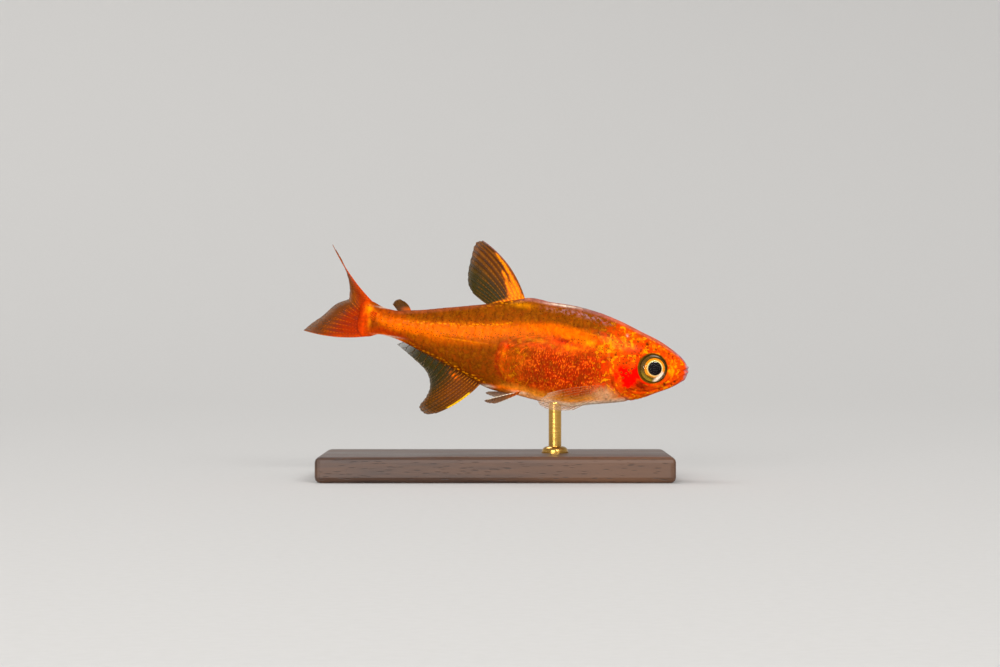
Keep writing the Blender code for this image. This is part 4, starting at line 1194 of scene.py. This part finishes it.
class EMBER_OT_eyes(bpy.types.Operator):
    """Build both eyes: a painted ball with a standing pupil, under a clear cornea"""

    bl_idname = "ember.eyes"
    bl_label = "Eyes"

    around = 128

    def execute(self, context):
        settings = context.scene.ember_model
        for label, side in SIDES:
            self.build_eye(settings, label, side)
        return {"FINISHED"}

    def turned(self, profile, side):
        """Points of a turned surface from (radius, outward, shift) rings; the shift moves a ring forwards."""
        centre, outward, forward, upward = eye_axes(side)
        turn = np.arange(self.around) / self.around * 2 * math.pi
        radius, out, shift = np.array(profile).T[:, :, None]
        ahead, above = radius * np.cos(turn) + shift, radius * np.sin(turn)
        points = centre + ahead[..., None] * forward + above[..., None] * upward + out[..., None] * outward
        return points, np.broadcast_to(turn / (2 * math.pi), ahead.shape)

    def turned_mesh(self, name, points, side, material):
        faces = tube_faces(len(points), self.around)
        if side < 0:
            faces = [face[::-1] for face in faces]
        return add_mesh(name, to_world(with_ends(points)), faces, [material])

    def build_eye(self, settings, label, side):
        sizes, palette = settings.eye, settings.colours
        radius, iris, pupil, bulge, depth = (
            millimetres(sizes, name) for name in ("radius", "iris_radius", "pupil_radius", "bulge", "depth")
        )
        # Front surface under the cornea: the lens stands out of the iris, which slopes back to the dark surround
        reach = np.concatenate([np.linspace(0.01, pupil, 14), np.linspace(pupil + 0.012, radius, 40)])
        lens = 0.12 + 0.11 * np.sqrt(np.maximum(1 - (reach / (pupil * 1.02)) ** 2, 0))
        ring = 0.155 - 0.10 * smooth_step(reach, pupil, iris) - 0.07 * smooth_step(reach, iris - 0.02, radius)
        ring += 0.018 * bump(reach - iris, 0.03) + 0.02 * bump(reach - pupil - 0.03, 0.03)
        shift = millimetres(sizes, "iris_shift") * (1 - smooth_step(reach, iris, radius))
        front = list(zip(reach, np.where(reach <= pupil, lens, ring), shift))
        back = [
            (radius * math.cos(a), -0.02 - depth * math.sin(a), 0.0)
            for a in np.linspace(0.05, math.pi / 2 - 0.05, 12)
        ]
        points, clock = self.turned(front + back, side)
        ring_mm = np.append(np.repeat([r for r, _, _ in front + back], self.around), (0, 0))
        is_back = np.append(np.repeat([False] * len(front) + [True] * len(back), self.around), (False, True))
        clock = np.append(clock.ravel(), (0, 0))
        paint = self.eye_paint(palette, ring_mm, clock, pupil, iris, radius)
        paint[is_back] = np.array(palette.olive)[:3]
        glass = named_material("painted_glass_eye", eye_material)
        obj = self.turned_mesh(f"eyeball_{label}", points, side, glass)
        store(obj, paint=paint, ring_mm=ring_mm, clock=clock)
        settle_piece(obj, f"eye_{label}", slot="eye")
        dome = [
            (r, -0.01 + bulge * math.sqrt(1 - (r / radius) ** 2), 0.0)
            for r in radius * np.sin(np.linspace(0.02, math.pi / 2, 24))
        ]
        inner = [(r, out - 0.02, 0.0) for r, out, _ in dome[::-1]]
        points, _ = self.turned(dome + inner, side)
        resin = named_material("clear_polished_resin", cornea_material)
        cornea = self.turned_mesh(f"cornea_{label}", points, side, resin)
        settle_piece(cornea, slot="eye")

    @staticmethod
    def eye_paint(palette, ring, clock, pupil, iris, radius):
        """Colours of the eye by distance from its axis and by direction, where 0 is forwards and a quarter up."""
        olive, gold, black = (np.array(getattr(palette, name))[:3] for name in ("olive", "gold", "pupil"))
        pale, cream = np.array(linear("FFEEA0"))[:3], np.array(linear("FFE6CC"))[:3]
        orange = np.array(linear("FF8E00"))[:3]
        moss, bronze = np.array(linear("9A7E1C"))[:3], np.array(palette.ring)[:3]
        ahead, above = ring * np.cos(2 * math.pi * clock), ring * np.sin(2 * math.pi * clock)
        paint = np.tile(bronze, (len(ring), 1))

        def lay(tint, mask):
            nonlocal paint
            paint = paint + (tint - paint) * np.clip(mask, 0, 1)[:, None]

        lay(olive, 0.6 * smooth_step(ahead + above, 0.2, 0.9))
        lay(olive, 0.35 * bump(ring - radius, 0.06))
        # A painted highlight along the top of the outer ring
        lay(cream, 0.5 * bump(ring - radius + 0.08, 0.035) * smooth_step(above, 0.70, 0.80))
        lay(
            moss,
            smooth_step(-above - 0.3 * ahead, 0.35, 0.80) * smooth_step(ring, iris - 0.05, radius - 0.06),
        )
        # The golden ring is wide at the rear and on top, and closes to a thin line below
        low = smooth_step(-above + 0.25 * ahead, 0.30, 0.55)
        outer = iris - 0.16 * low
        lay(orange, 1 - smooth_step(ring, outer - 0.03, outer + 0.015))
        lay(gold, 0.8 * (1 - smooth_step(ring, pupil + 0.08, iris - 0.02)))
        lay(
            pale,
            (1 - smooth_step(ring, pupil + 0.045, pupil + 0.095))
            * (0.55 + 0.45 * smooth_step(above, -0.2, 0.3)),
        )
        # A cream streak runs from the pupil's lower front down over the ring: the iris's silvery layer, painted as a
        # bright highlight
        start, run = np.array((0.50, -0.22)), np.array((-0.30, -0.50))
        share = np.clip(((ahead - start[0]) * run[0] + (above - start[1]) * run[1]) / (run @ run), 0, 1)
        off = np.hypot(ahead - start[0] - share * run[0], above - start[1] - share * run[1])
        lay(cream, 1.5 * bump(off, 0.085 + 0.03 * share))
        lay(black, 1 - smooth_step(ring, pupil - 0.004, pupil + 0.012))
        return paint


def fan_point(fan, across, share):
    """Places of a fin's sheet in (station, side, height): across runs 0 to 1 over its rays, share root to tip."""
    base, margin, bows, _ = fan
    root, tip, bow = path_at(base, across), path_at(margin, across), path_at(bows, across)
    share = np.asarray(share, float)[..., None]
    return root + (tip - root) * share + bow * 4 * share * (1 - share)


def fan_normal(fan, across, share):
    step = 1e-3
    low, high = np.clip(across - step, 0, 1), np.clip(across + step, 0, 1)
    over = fan_point(fan, high, share) - fan_point(fan, low, share)
    out = fan_point(fan, across, share + step) - fan_point(fan, across, share - step)
    normal = np.cross(over, out)
    return normal / np.maximum(np.linalg.norm(normal, axis=-1, keepdims=True), 1e-12)


def paired_fan(label, side, kind):
    """The fan of one fin of a pair."""
    if kind == "pectoral_fin":
        return (
            ((5.02, side * 1.02, -1.92), (4.92, side * 0.92, -2.16), (4.80, side * 0.82, -2.36)),
            (
                (8.50, side * 2.25, -2.92), (8.98, side * 2.35, -3.52), (8.50, side * 2.10, -3.84),
                (7.60, side * 1.84, -3.86), (6.75, side * 1.52, -3.70),
            ),
            ((0, side * 0.16, 0.14), (0, side * 0.14, 0.06), (0, side * 0.08, -0.02)),
            9,
        )
    swing = PELVIC_SWING[label]
    return (
        ((10.28, side * 0.50, -3.12), (10.36, side * 0.28, -3.30)),
        (
            (12.10, side * 1.02, -3.30 - swing), (12.30, side * 0.92, -3.42 - swing),
            (12.05, side * 0.62, -3.50 - swing), (11.60, side * 0.36, -3.60 - 0.8 * swing),
        ),
        ((0.05, side * 0.06, 0), (0, side * 0.02, -0.04)),
        7,
    )


class EMBER_OT_fins(bpy.types.Operator):
    """Build every fin: jointed, branching rays in a thin clear membrane"""

    bl_idname = "ember.fins"
    bl_label = "Fins"

    root_sink = 0.45
    tail_sink = 0.80
    ring = 7
    seed = 11

    def execute(self, context):
        settings = context.scene.ember_model
        random = np.random.default_rng(self.seed)
        fans = dict(FANS)
        for label, side in SIDES:
            for kind in ("pectoral_fin", "pelvic_fin"):
                fans[f"{kind}_{label}"] = paired_fan(label, side, kind)
        for name, fan in fans.items():
            self.build_fin(settings, name, fan, random)
        return {"FINISHED"}

    def sink(self, name, across):
        """How deep a fin's root goes into the body, less at the sheet's edges so that they leave the body smoothly."""
        deep = self.tail_sink if name.startswith("caudal") else self.root_sink
        return deep * (1 - 0.6 * np.abs(2 * np.asarray(across) - 1) ** 4)

    def build_fin(self, settings, name, fan, random):
        points, faces, stored, kinds = [], [], [], []
        for make, kind in ((self.web, 0), (self.rays, 1)):
            start = sum(len(p) for p in points)
            made, made_faces, values = make(settings, name, fan, random)
            points.append(made)
            faces += [tuple(i + start for i in face) for face in made_faces]
            kinds += [kind] * len(made_faces)
            stored.append(values)
        materials = [
            named_material("thin_clear_resin_membrane", web_material),
            named_material("satin_tinted_resin_ray", ray_material, settings.fins),
        ]
        place = np.concatenate(points)
        obj = add_mesh(f"{name}_rays_and_web", to_world(to_fish(*place.T)), faces, materials, kinds)
        joined = {key: np.concatenate([values[key] for values in stored]) for key in stored[0]}
        store(obj, fish_mm=place, **joined)
        settle_piece(obj, name, slot="fin")

    def web(self, settings, name, fan, random):
        """The membrane as a closed thin sheet, pleated between the rays and scalloped at its margin."""
        rays = fan[3]
        columns, rows = (rays - 1) * 10 + 1, 44
        across = np.linspace(0, 1, columns)
        between = np.abs(np.sin(across * (rays - 1) * math.pi))
        ragged = np.interp(across, np.linspace(0, 1, 2 * rays - 1), random.uniform(0, 0.006, 2 * rays - 1))
        reach = 1 - 0.010 * between**1.5 - ragged
        long = np.linalg.norm(
            fan_point(fan, across, np.ones(columns)) - fan_point(fan, across, np.zeros(columns)), axis=1
        )
        low = -self.sink(name, across) / long
        share = low[:, None] + (reach - low)[:, None] * np.linspace(0, 1, rows)[None, :]
        grid = np.broadcast_to(across[:, None], share.shape)
        sheet, normal = fan_point(fan, grid, share), fan_normal(fan, grid, share)
        fold = millimetres(settings.fins, "pleat") * (between**2)[:, None] * np.clip(share, 0, 1)
        half = 0.5 * millimetres(settings.fins, "web_thickness") * (1 - 0.5 * np.clip(share, 0, 1))
        upper = sheet + normal * (fold + half)[..., None]
        lower = sheet + normal * (fold - half)[..., None]
        paint, cover = fin_paint(settings.colours, name, grid.ravel(), share.ravel(), False)
        points = np.concatenate([upper.reshape(-1, 3), lower.reshape(-1, 3)])
        run = (share * long[:, None]).ravel()
        values = {"paint": np.tile(paint, (2, 1)), "cover": np.tile(cover, 2), "run_mm": np.tile(run, 2)}
        return points, sheet_faces(columns, rows), values

    def rays(self, settings, name, fan, random):
        """The rays as tapered tubes that fork twice on their way out."""
        count = fan[3]
        root_radius, tip_radius = (millimetres(settings.fins, key) for key in ("ray_radius", "ray_tip"))
        if name.startswith(("pectoral", "pelvic")):
            root_radius *= 0.75
        if name.startswith("adipose"):
            root_radius, tip_radius = 0.4 * root_radius, 0.5 * tip_radius
        joints = 2 * math.pi / millimetres(settings.fins, "joint_spacing")
        turn = (np.arange(self.ring) / self.ring * 2 * math.pi)[None, :, None]
        points, faces, total = [], [], 0
        values = {"paint": [], "cover": [], "run_mm": []}
        for k in range(count):
            middle = k / (count - 1)
            simple = k == 0 or name.startswith("adipose")
            first, second = 0.46 + random.uniform(-0.05, 0.05), 0.74 + random.uniform(-0.04, 0.04)
            stretches = [((), -1, 1.0)] if simple else [((), -1, first + 0.02)]
            if not simple:
                stretches += [((way,), first, second + 0.02) for way in (-1, 1)]
                stretches += [((way, twig), second, 1.0) for way in (-1, 1) for twig in (-1, 1)]
            root, tip = (fan_point(fan, np.array(middle), np.array(share)) for share in (0.0, 1.0))
            length = float(np.linalg.norm(tip - root))
            for ways, start, stop in stretches:
                start = -self.sink(name, middle) / length if start < 0 else start
                steps = max(int((stop - start) * length / 0.055), 6)
                share = np.linspace(start, stop * (0.995 - 0.01 * random.random()), steps)
                offset = np.zeros(steps)
                if ways:
                    offset += ways[0] * 0.19 * smooth_step(share, first, first + 0.35)
                if len(ways) > 1:
                    offset += ways[1] * 0.085 * smooth_step(share, second, 1.1)
                across = np.clip(middle + offset / (count - 1), 0, 1)
                thin = 0.74 ** len(ways)
                radius = (
                    tip_radius + (root_radius * thin - tip_radius) * (1 - 0.80 * np.clip(share, 0, 1) ** 1.3)
                )
                if k == 0:
                    radius = radius * 1.15
                beads = 1 + 0.10 * np.sin(share * length * joints)
                centre, normal = fan_point(fan, across, share), fan_normal(fan, across, share)
                run = np.gradient(centre, axis=0)
                run /= np.linalg.norm(run, axis=1, keepdims=True)
                beside = np.cross(run, normal)
                circle = np.cos(turn) * beside[:, None] + 0.9 * np.sin(turn) * normal[:, None]
                tube = centre[:, None] + (radius * beads)[:, None, None] * circle
                flat = np.concatenate([tube.reshape(-1, 3), centre[:1], centre[-1:]])
                faces += tube_faces(steps, self.ring, total)
                total += len(flat)
                points.append(flat)
                share_at = np.append(np.repeat(share, self.ring), (share[0], share[-1]))
                across_at = np.append(np.repeat(across, self.ring), (across[0], across[-1]))
                paint, cover = fin_paint(settings.colours, name, across_at, share_at, True)
                values["paint"].append(paint)
                values["cover"].append(cover)
                values["run_mm"].append(share_at * length)
        return np.concatenate(points), faces, {key: np.concatenate(value) for key, value in values.items()}


def fin_paint(palette, name, across, share, on_ray):
    """Colour and cover of a fin's rays or membrane at places given by ray and by share of its length. The membrane
    is drawn twice, by its two faces, so its cover is lower than it looks."""
    tint = tints(palette)
    share = np.clip(share, 0, 1)
    everywhere = np.ones(len(share))
    paint = np.tile(tint["ray"] if on_ray else tint["olive"], (len(share), 1))

    def lay(key, mask):
        nonlocal paint
        paint = paint + (tint[key] - paint) * np.clip(mask, 0, 1)[:, None]

    cover = np.full(len(share), 0.98 if on_ray else 0.95)
    outer, margin = smooth_step(share, 0.6, 1.0), smooth_step(share, 0.84, 1.0)
    if name == "dorsal_fin":
        # Golden orange runs up the leading rays in two prongs from a patch along the base
        jagged = (
            0.005 * np.sin(share * 37 + 1) + 0.004 * np.sin(share * 97 + across * 30)
            + 0.003 * np.sin(share * 211)
        )
        first = (
            bump(across - 0.122 + 0.110 * share + jagged, 0.062 - 0.054 * share)
            * (1 - smooth_step(share, 0.70, 0.76))
        )
        second = (
            bump(across - 0.335 + 0.36 * share + 1.6 * jagged, 0.070 - 0.100 * np.minimum(share, 0.5))
            * (1 - smooth_step(share, 0.42, 0.48))
        )
        ragged = 0.06 * np.sin(across * 75) + 0.04 * np.sin(across * 161)
        merged = 1 - smooth_step(across + 0.55 * share + 0.3 * ragged + 3 * jagged, 0.37, 0.42)
        merged *= smooth_step(across, 0.015, 0.04) * (1 - smooth_step(share + ragged, 0.22, 0.34))
        patch = np.maximum(np.maximum(first, second), merged)
        root = (1 - smooth_step(share, 0.02, 0.08)) * (1 - smooth_step(across, 0.7, 0.95))
        # The membrane is brown along each ray and dark between the rays
        between = np.abs(np.sin(across * 11 * math.pi))
        beside = (1 - smooth_step(between, 0.40, 0.85)) * smooth_step(share, 0.25, 0.55) * (not on_ray)
        lay("web", (0.25 if on_ray else 0.50) * (1 - smooth_step(across, 0.20, 0.60)) * (1 - 0.3 * outer))
        lay("ray", (0.42 - 0.40 * smooth_step(across, 0.25, 0.65)) * beside)
        lay(
            "dots",
            0.45 * smooth_step(between, 0.6, 0.95) * (1 - smooth_step(across, 0.35, 0.65)) * (not on_ray),
        )
        lay("olive", (0.15 + 0.60 * smooth_step(across, 0.30, 0.75)) * on_ray)
        lay("ring", 0.30 * smooth_step(share, 0.5, 0.9) * on_ray)
        lay("smoke", (0.25 if on_ray else 0.08) * margin)
        slit = (
            bump(across - 0.190 + 0.12 * share, 0.014) * smooth_step(share, 0.16, 0.30)
            * (1 - smooth_step(share, 0.50, 0.62))
        )
        lay("band", 0.9 * np.clip(1.3 * patch, 0, 1))
        lay("gold", 0.8 * np.clip(2.4 * patch - (0.5 if on_ray else 1.0), 0, 1))
        lay(
            "tail_base",
            0.55 * np.clip(patch, 0, 1) * smooth_step(between, 0.55, 0.95)
            * (1 - smooth_step(share, 0.3, 0.5)) * (not on_ray),
        )
        lay("dots", 0.9 * slit)
        lay(
            "dots",
            0.40 * (1 - smooth_step(across, 0.010, 0.030)) * (not on_ray) * smooth_step(share, 0.2, 0.5),
        )
        lay("band", 0.8 * root)
        lay("gold", root * smooth_step(np.sin(across * 62), 0.0, 0.6))
        lay("lilac", 0.35 * (1 - smooth_step(across, 0.005, 0.02)) * smooth_step(share, 0.3, 0.8))
        cover = np.maximum(cover * (1 - 0.22 * margin - 0.06 * outer), np.clip(1.4 * patch, 0, 0.95))
    elif name == "anal_fin":
        front = 1 - smooth_step(across, 0.28, 0.62)
        lay("web", 0.85 * front * (not on_ray) * (1 - 0.7 * smooth_step(share, 0.3, 0.9)))
        lay("web", 0.45 * on_ray * everywhere)
        lay("olive", (0.72 * smooth_step(across, 0.35, 0.65) + 0.42 * smooth_step(share, 0.35, 0.9)) * on_ray)
        lay(
            "smoke",
            0.40 * smooth_step(across, 0.40, 0.85) * on_ray * smooth_step(share, 0.45, 0.8) + 0.25 * margin,
        )
        lead = (
            (1 - smooth_step(across, 0.018, 0.034)) * smooth_step(share, 0.22, 0.28)
            * (1 - smooth_step(share, 0.72, 0.78))
        )
        lay("streak", 1.8 * lead)
        # A golden bead marks the root of each ray, and orange flecks lie below them behind the front lobe
        lay("dots", 0.6 * (1 - smooth_step(share, 0.04, 0.12)) * (not on_ray))
        beads = bump(share - 0.05, 0.03) * (1 - smooth_step(across, 0.5, 0.85))
        lay("gold", 0.3 * beads * on_ray)
        flecks = (
            bump(across - 0.436, 0.08) * bump(share - 0.16, 0.05)
            * smooth_step(np.sin(across * 112), 0.0, 0.5)
        )
        lay("band", 1.3 * flecks)
        cover = (
            cover * (1 - 0.08 * smooth_step(across, 0.3, 0.9) - 0.25 * margin)
            * (1 - 0.7 * smooth_step(across, 0.82, 1.0))
        )
    elif name.startswith("caudal"):
        upper = name.endswith("upper")
        glow = 1 - smooth_step(share, 0.15, 0.70)
        lay("web", (0.80 if upper else 0.95) * (1 - 0.4 * outer) * (1.0 if not on_ray else 0.35))
        lay("back", 0.60 * upper * (1 - 0.5 * margin))
        lay("tail_base", (0.75 if on_ray else 0.55) * glow)
        lay("tail_base", 1 - smooth_step(share, 0.05, 0.22))
        lay(
            "dark_red",
            0.72 * (1 - smooth_step(share, 0.45, 0.80)) * (1.0 if not on_ray else 0.85) * (1 - 0.35 * upper),
        )
        lay("band", 0.30 * smooth_step(share, 0.25, 0.5) * (1 - smooth_step(share, 0.75, 0.95)) * on_ray)
        flecks = (1 - smooth_step(share, 0.06, 0.24)) * bump(across - (0.80 if upper else 0.15), 0.35)
        lay(
            "gold",
            0.8 * flecks * smooth_step(np.sin(across * 71) * np.sin(share * 60 + across * 25), 0.0, 0.6),
        )
        lead = (1 - smooth_step(across, 0.10, 0.35)) if upper else smooth_step(across, 0.86, 1.0)
        lay("tail_base", (0.30 if upper else 0.12) * lead * (1 - smooth_step(share, 0.50, 0.80)))
        lay("band", 0.18 * lead * (1 - smooth_step(share, 0.4, 0.7)))
        lay("salmon", 0.04 * outer + (0.12 if upper else 0.10) * lead * smooth_step(share, 0.65, 0.9))
        lay("smoke", 0.32 * smooth_step(share, 0.80, 0.99) * (1 - 0.3 * lead))
        cover = (
            0.97 - 0.06 * outer - 0.14 * margin if on_ray else 0.95 - 0.08 * smooth_step(share, 0.3, 0.8)
            - 0.20 * margin
        )
        cover = np.maximum(cover, 0.9 * lead)
    elif name == "adipose_fin":
        lay("web", 0.35 * everywhere)
        lay("band", 0.60 * (1 - smooth_step(share, 0.05, 0.45)) * (1 - smooth_step(across, 0.3, 0.9)))
        lay("smoke", 0.6 * smooth_step(share, 0.90, 0.99))
        cover = 0.97 * everywhere - 0.15 * margin
    elif name.startswith("pelvic"):
        pale = 0.25 if name.endswith("right") else 0.60
        lay("ray", 0.8 * everywhere)
        lay("smoke", (pale + 0.2 * outer) * everywhere)
        lay("band", 0.8 * (1 - smooth_step(share, 0.0, 0.45)))
        lay(
            "cream",
            0.8 * (1 - smooth_step(np.minimum(across, 1 - across), 0.0, 0.10)) * smooth_step(share, 0.05, 0.2),
        )
        cover = 0.92 - 0.25 * outer if on_ray else 0.78 - 0.20 * outer
    else:
        tip = smooth_step(share, 0.66, 0.92)
        lay("belly", 0.9 * everywhere)
        lay("cream", 0.15 + 0.25 * tip)
        lay("smoke", 0.35 * tip)
        cover = 0.12 + 0.26 * tip if on_ray else 0.02 + 0.16 * tip
    return paint, np.clip(cover, 0, 1)


class EMBER_OT_stand(bpy.types.Operator):
    """Build the stand: walnut base, brass rod and the collar at its foot"""

    bl_idname = "ember.stand"
    bl_label = "Stand"

    around = 64

    def execute(self, context):
        sizes = context.scene.ember_model.stand
        low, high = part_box("stand_rod")
        centre = (low + high) / 2 / MM
        base_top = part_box("stand_base")[1].z / MM
        # The rod goes on into the belly, across the gap that parts its solid from the body's
        top = high.z / MM + 0.45
        radius = millimetres(sizes, "rod_radius")
        rod = [
            (0.001, base_top - 0.6), (radius, base_top - 0.6), (radius, top - 0.10), (radius - 0.10, top),
            (0.001, top),
        ]
        collar_radius, tall = millimetres(sizes, "collar_radius"), millimetres(sizes, "collar_height")
        collar = [
            (radius - 0.02, base_top - 0.05), (collar_radius, base_top - 0.05),
            (collar_radius, base_top + 0.10),
        ]
        collar += [
            (
                collar_radius - 0.04 - (collar_radius - radius - 0.08) * (1 - math.cos(a)),
                base_top + 0.12 + (tall - 0.12) * math.sin(a),
            )
            for a in np.linspace(0, math.pi / 2, 10)
        ]
        collar += [(radius - 0.02, base_top + tall)]
        brass = named_material("polished_turned_brass", brass_material)
        settle_piece(self.turned("stand_rod_brass", rod, centre, brass), "stand_rod", slot="rod_metal")
        settle_piece(self.turned("stand_collar", collar, centre, brass), slot="rod_metal")
        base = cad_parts["stand_base"]
        base.data.materials.clear()
        base.data.materials.append(named_material("satin_oiled_walnut", walnut_material))
        return {"FINISHED"}

    def turned(self, name, profile, centre, material):
        """A closed turned piece about an upright axis, with crisp edges kept by close rings."""
        corners = np.array(profile)
        rings = (
            [corners[0]]
            + [a + (b - a) * share for a, b in zip(corners, corners[1:]) for share in (0.04, 0.96, 1)]
        )
        radius, height = np.array(rings).T[:, :, None]
        turn = np.arange(self.around) / self.around * 2 * math.pi
        points = np.stack(
            [centre.x + radius * np.cos(turn), centre.y + radius * np.sin(turn), height + 0 * turn], axis=-1
        )
        faces = grid_faces(len(rings), self.around, wrap=True)
        last = (len(rings) - 1) * self.around
        if name == "stand_collar":
            faces += [
                (last + k, last + (k + 1) % self.around, (k + 1) % self.around, k) for k in range(self.around)
            ]
        else:
            faces += [tuple(range(self.around))[::-1], tuple(range(last, last + self.around))]
        return add_mesh(name, points.reshape(-1, 3) * MM, faces, [material])


class EMBER_OT_stage(bpy.types.Operator):
    """Build the pale floor, the soft lights and the camera"""

    bl_idname = "ember.stage"
    bl_label = "Stage"

    def execute(self, context):
        self.build_floor()
        self.build_lights(context)
        self.build_camera(context)
        context.scene.view_settings.view_transform = "Standard"
        return {"FINISHED"}

    def build_floor(self):
        """A round floor that curves up slowly on every side, so that no edge shows."""
        flat, bend, turns = 200.0, 1600.0, math.radians(62)
        profile = [(r, 0.0) for r in np.linspace(1, flat, 10)]
        profile += [
            (flat + bend * math.sin(a), bend * (1 - math.cos(a))) for a in np.linspace(0.02, turns, 40)
        ]
        turn = np.arange(128) / 128 * 2 * math.pi
        radius, height = np.array(profile).T[:, :, None]
        points = np.stack([radius * np.cos(turn), radius * np.sin(turn), height + 0 * turn], axis=-1)
        faces = grid_faces(len(profile), 128, wrap=True) + [tuple(range(128))[::-1]]
        material, tree, shader = new_material("matt_pale_paper")
        spot = node(tree, "ShaderNodeTexCoord").outputs["Object"]
        # Paper tooth, about 0.5 mm
        tooth = node(tree, "ShaderNodeTexNoise", {"Vector": spot, "Scale": 2000.0, "Detail": 2.0})
        ends = {6: linear("D6D3CE"), 7: linear("DCD9D5")}
        base = node(tree, "ShaderNodeMix", {0: tooth, **ends}, **TINTED).outputs[2]
        connect(tree, shader, {"Base Color": base, "Roughness": 0.9, "Specular IOR Level": 0.1})
        floor = add_mesh("floor", points.reshape(-1, 3) * MM, faces, [material])

    def build_lights(self, context):
        """A large soft key over the camera's shoulder, a low fill for the belly, and a rim light from behind."""
        target = Vector((0.0, 0.0, 0.009))
        for name, place, width, power in (
            ("key", (0.42, -1.00, 0.52), 0.34, 6.0),
            ("fill", (-0.12, -0.36, 0.050), 0.20, 1.20),
            ("rim", (-0.30, 0.60, 1.00), 0.45, 4.2),
        ):
            light = bpy.data.objects.new(name, bpy.data.lights.new(name, "AREA"))
            light.data.size = width
            light.data.energy = power
            light.location = place
            light.rotation_euler = (light.location - target).to_track_quat("Z", "Y").to_euler()
            light.visible_camera = False
            context.scene.collection.objects.link(light)
        world = bpy.data.worlds.new("studio")
        world.use_nodes = True
        world.node_tree.nodes["Background"].inputs["Color"].default_value = linear("EEF1F6")
        world.node_tree.nodes["Background"].inputs["Strength"].default_value = 0.50
        context.scene.world = world

    def build_camera(self, context):
        """Straight at the right flank, as in the photograph: 62.9 mm across at the fish."""
        view_width, sensor, focal = 62.9, 36.0, 100.0
        lens = bpy.data.cameras.new("camera")
        lens.sensor_width = sensor
        lens.lens = focal
        lens.clip_start = 0.005
        lens.clip_end = 5.0
        camera = bpy.data.objects.new("camera", lens)
        camera.location = (0.283 * MM, -view_width * focal / sensor * MM, 9.107 * MM)
        camera.rotation_euler = (math.radians(90), 0, 0)
        context.scene.collection.objects.link(camera)
        context.scene.camera = camera


class EMBER_PT_panel(bpy.types.Panel):
    """The model's steps and settings"""

    bl_idname = "EMBER_PT_panel"
    bl_label = "Ember Tetra"
    bl_space_type = "VIEW_3D"
    bl_region_type = "UI"
    bl_category = "Ember Tetra"

    def draw(self, context):
        for step in STEPS:
            self.layout.operator(step.bl_idname)
        model = context.scene.ember_model
        for group in (model.body, model.eye, model.fins, model.stand, model.colours):
            box = self.layout.box()
            for key in group.bl_rna.properties.keys():
                if key not in ("rna_type", "name"):
                    box.prop(group, key)


STEPS = (EMBER_OT_skin, EMBER_OT_scales, EMBER_OT_eyes, EMBER_OT_fins, EMBER_OT_stand, EMBER_OT_stage)
CLASSES = (
    EMBER_PG_body, EMBER_PG_eye, EMBER_PG_fins, EMBER_PG_stand, EMBER_PG_colours, EMBER_PG_model,
    *STEPS, EMBER_PT_panel,
)


def register():
    for cls in CLASSES:
        bpy.utils.register_class(cls)
    bpy.types.Scene.ember_model = PointerProperty(type=EMBER_PG_model)


def unregister():
    del bpy.types.Scene.ember_model
    for cls in reversed(CLASSES):
        bpy.utils.unregister_class(cls)


def main():
    register()
    bpy.ops.ember.skin()
    bpy.ops.ember.scales()
    bpy.ops.ember.eyes()
    bpy.ops.ember.fins()
    bpy.ops.ember.stand()
    bpy.ops.ember.stage()


if __name__ == "__main__":
    main()
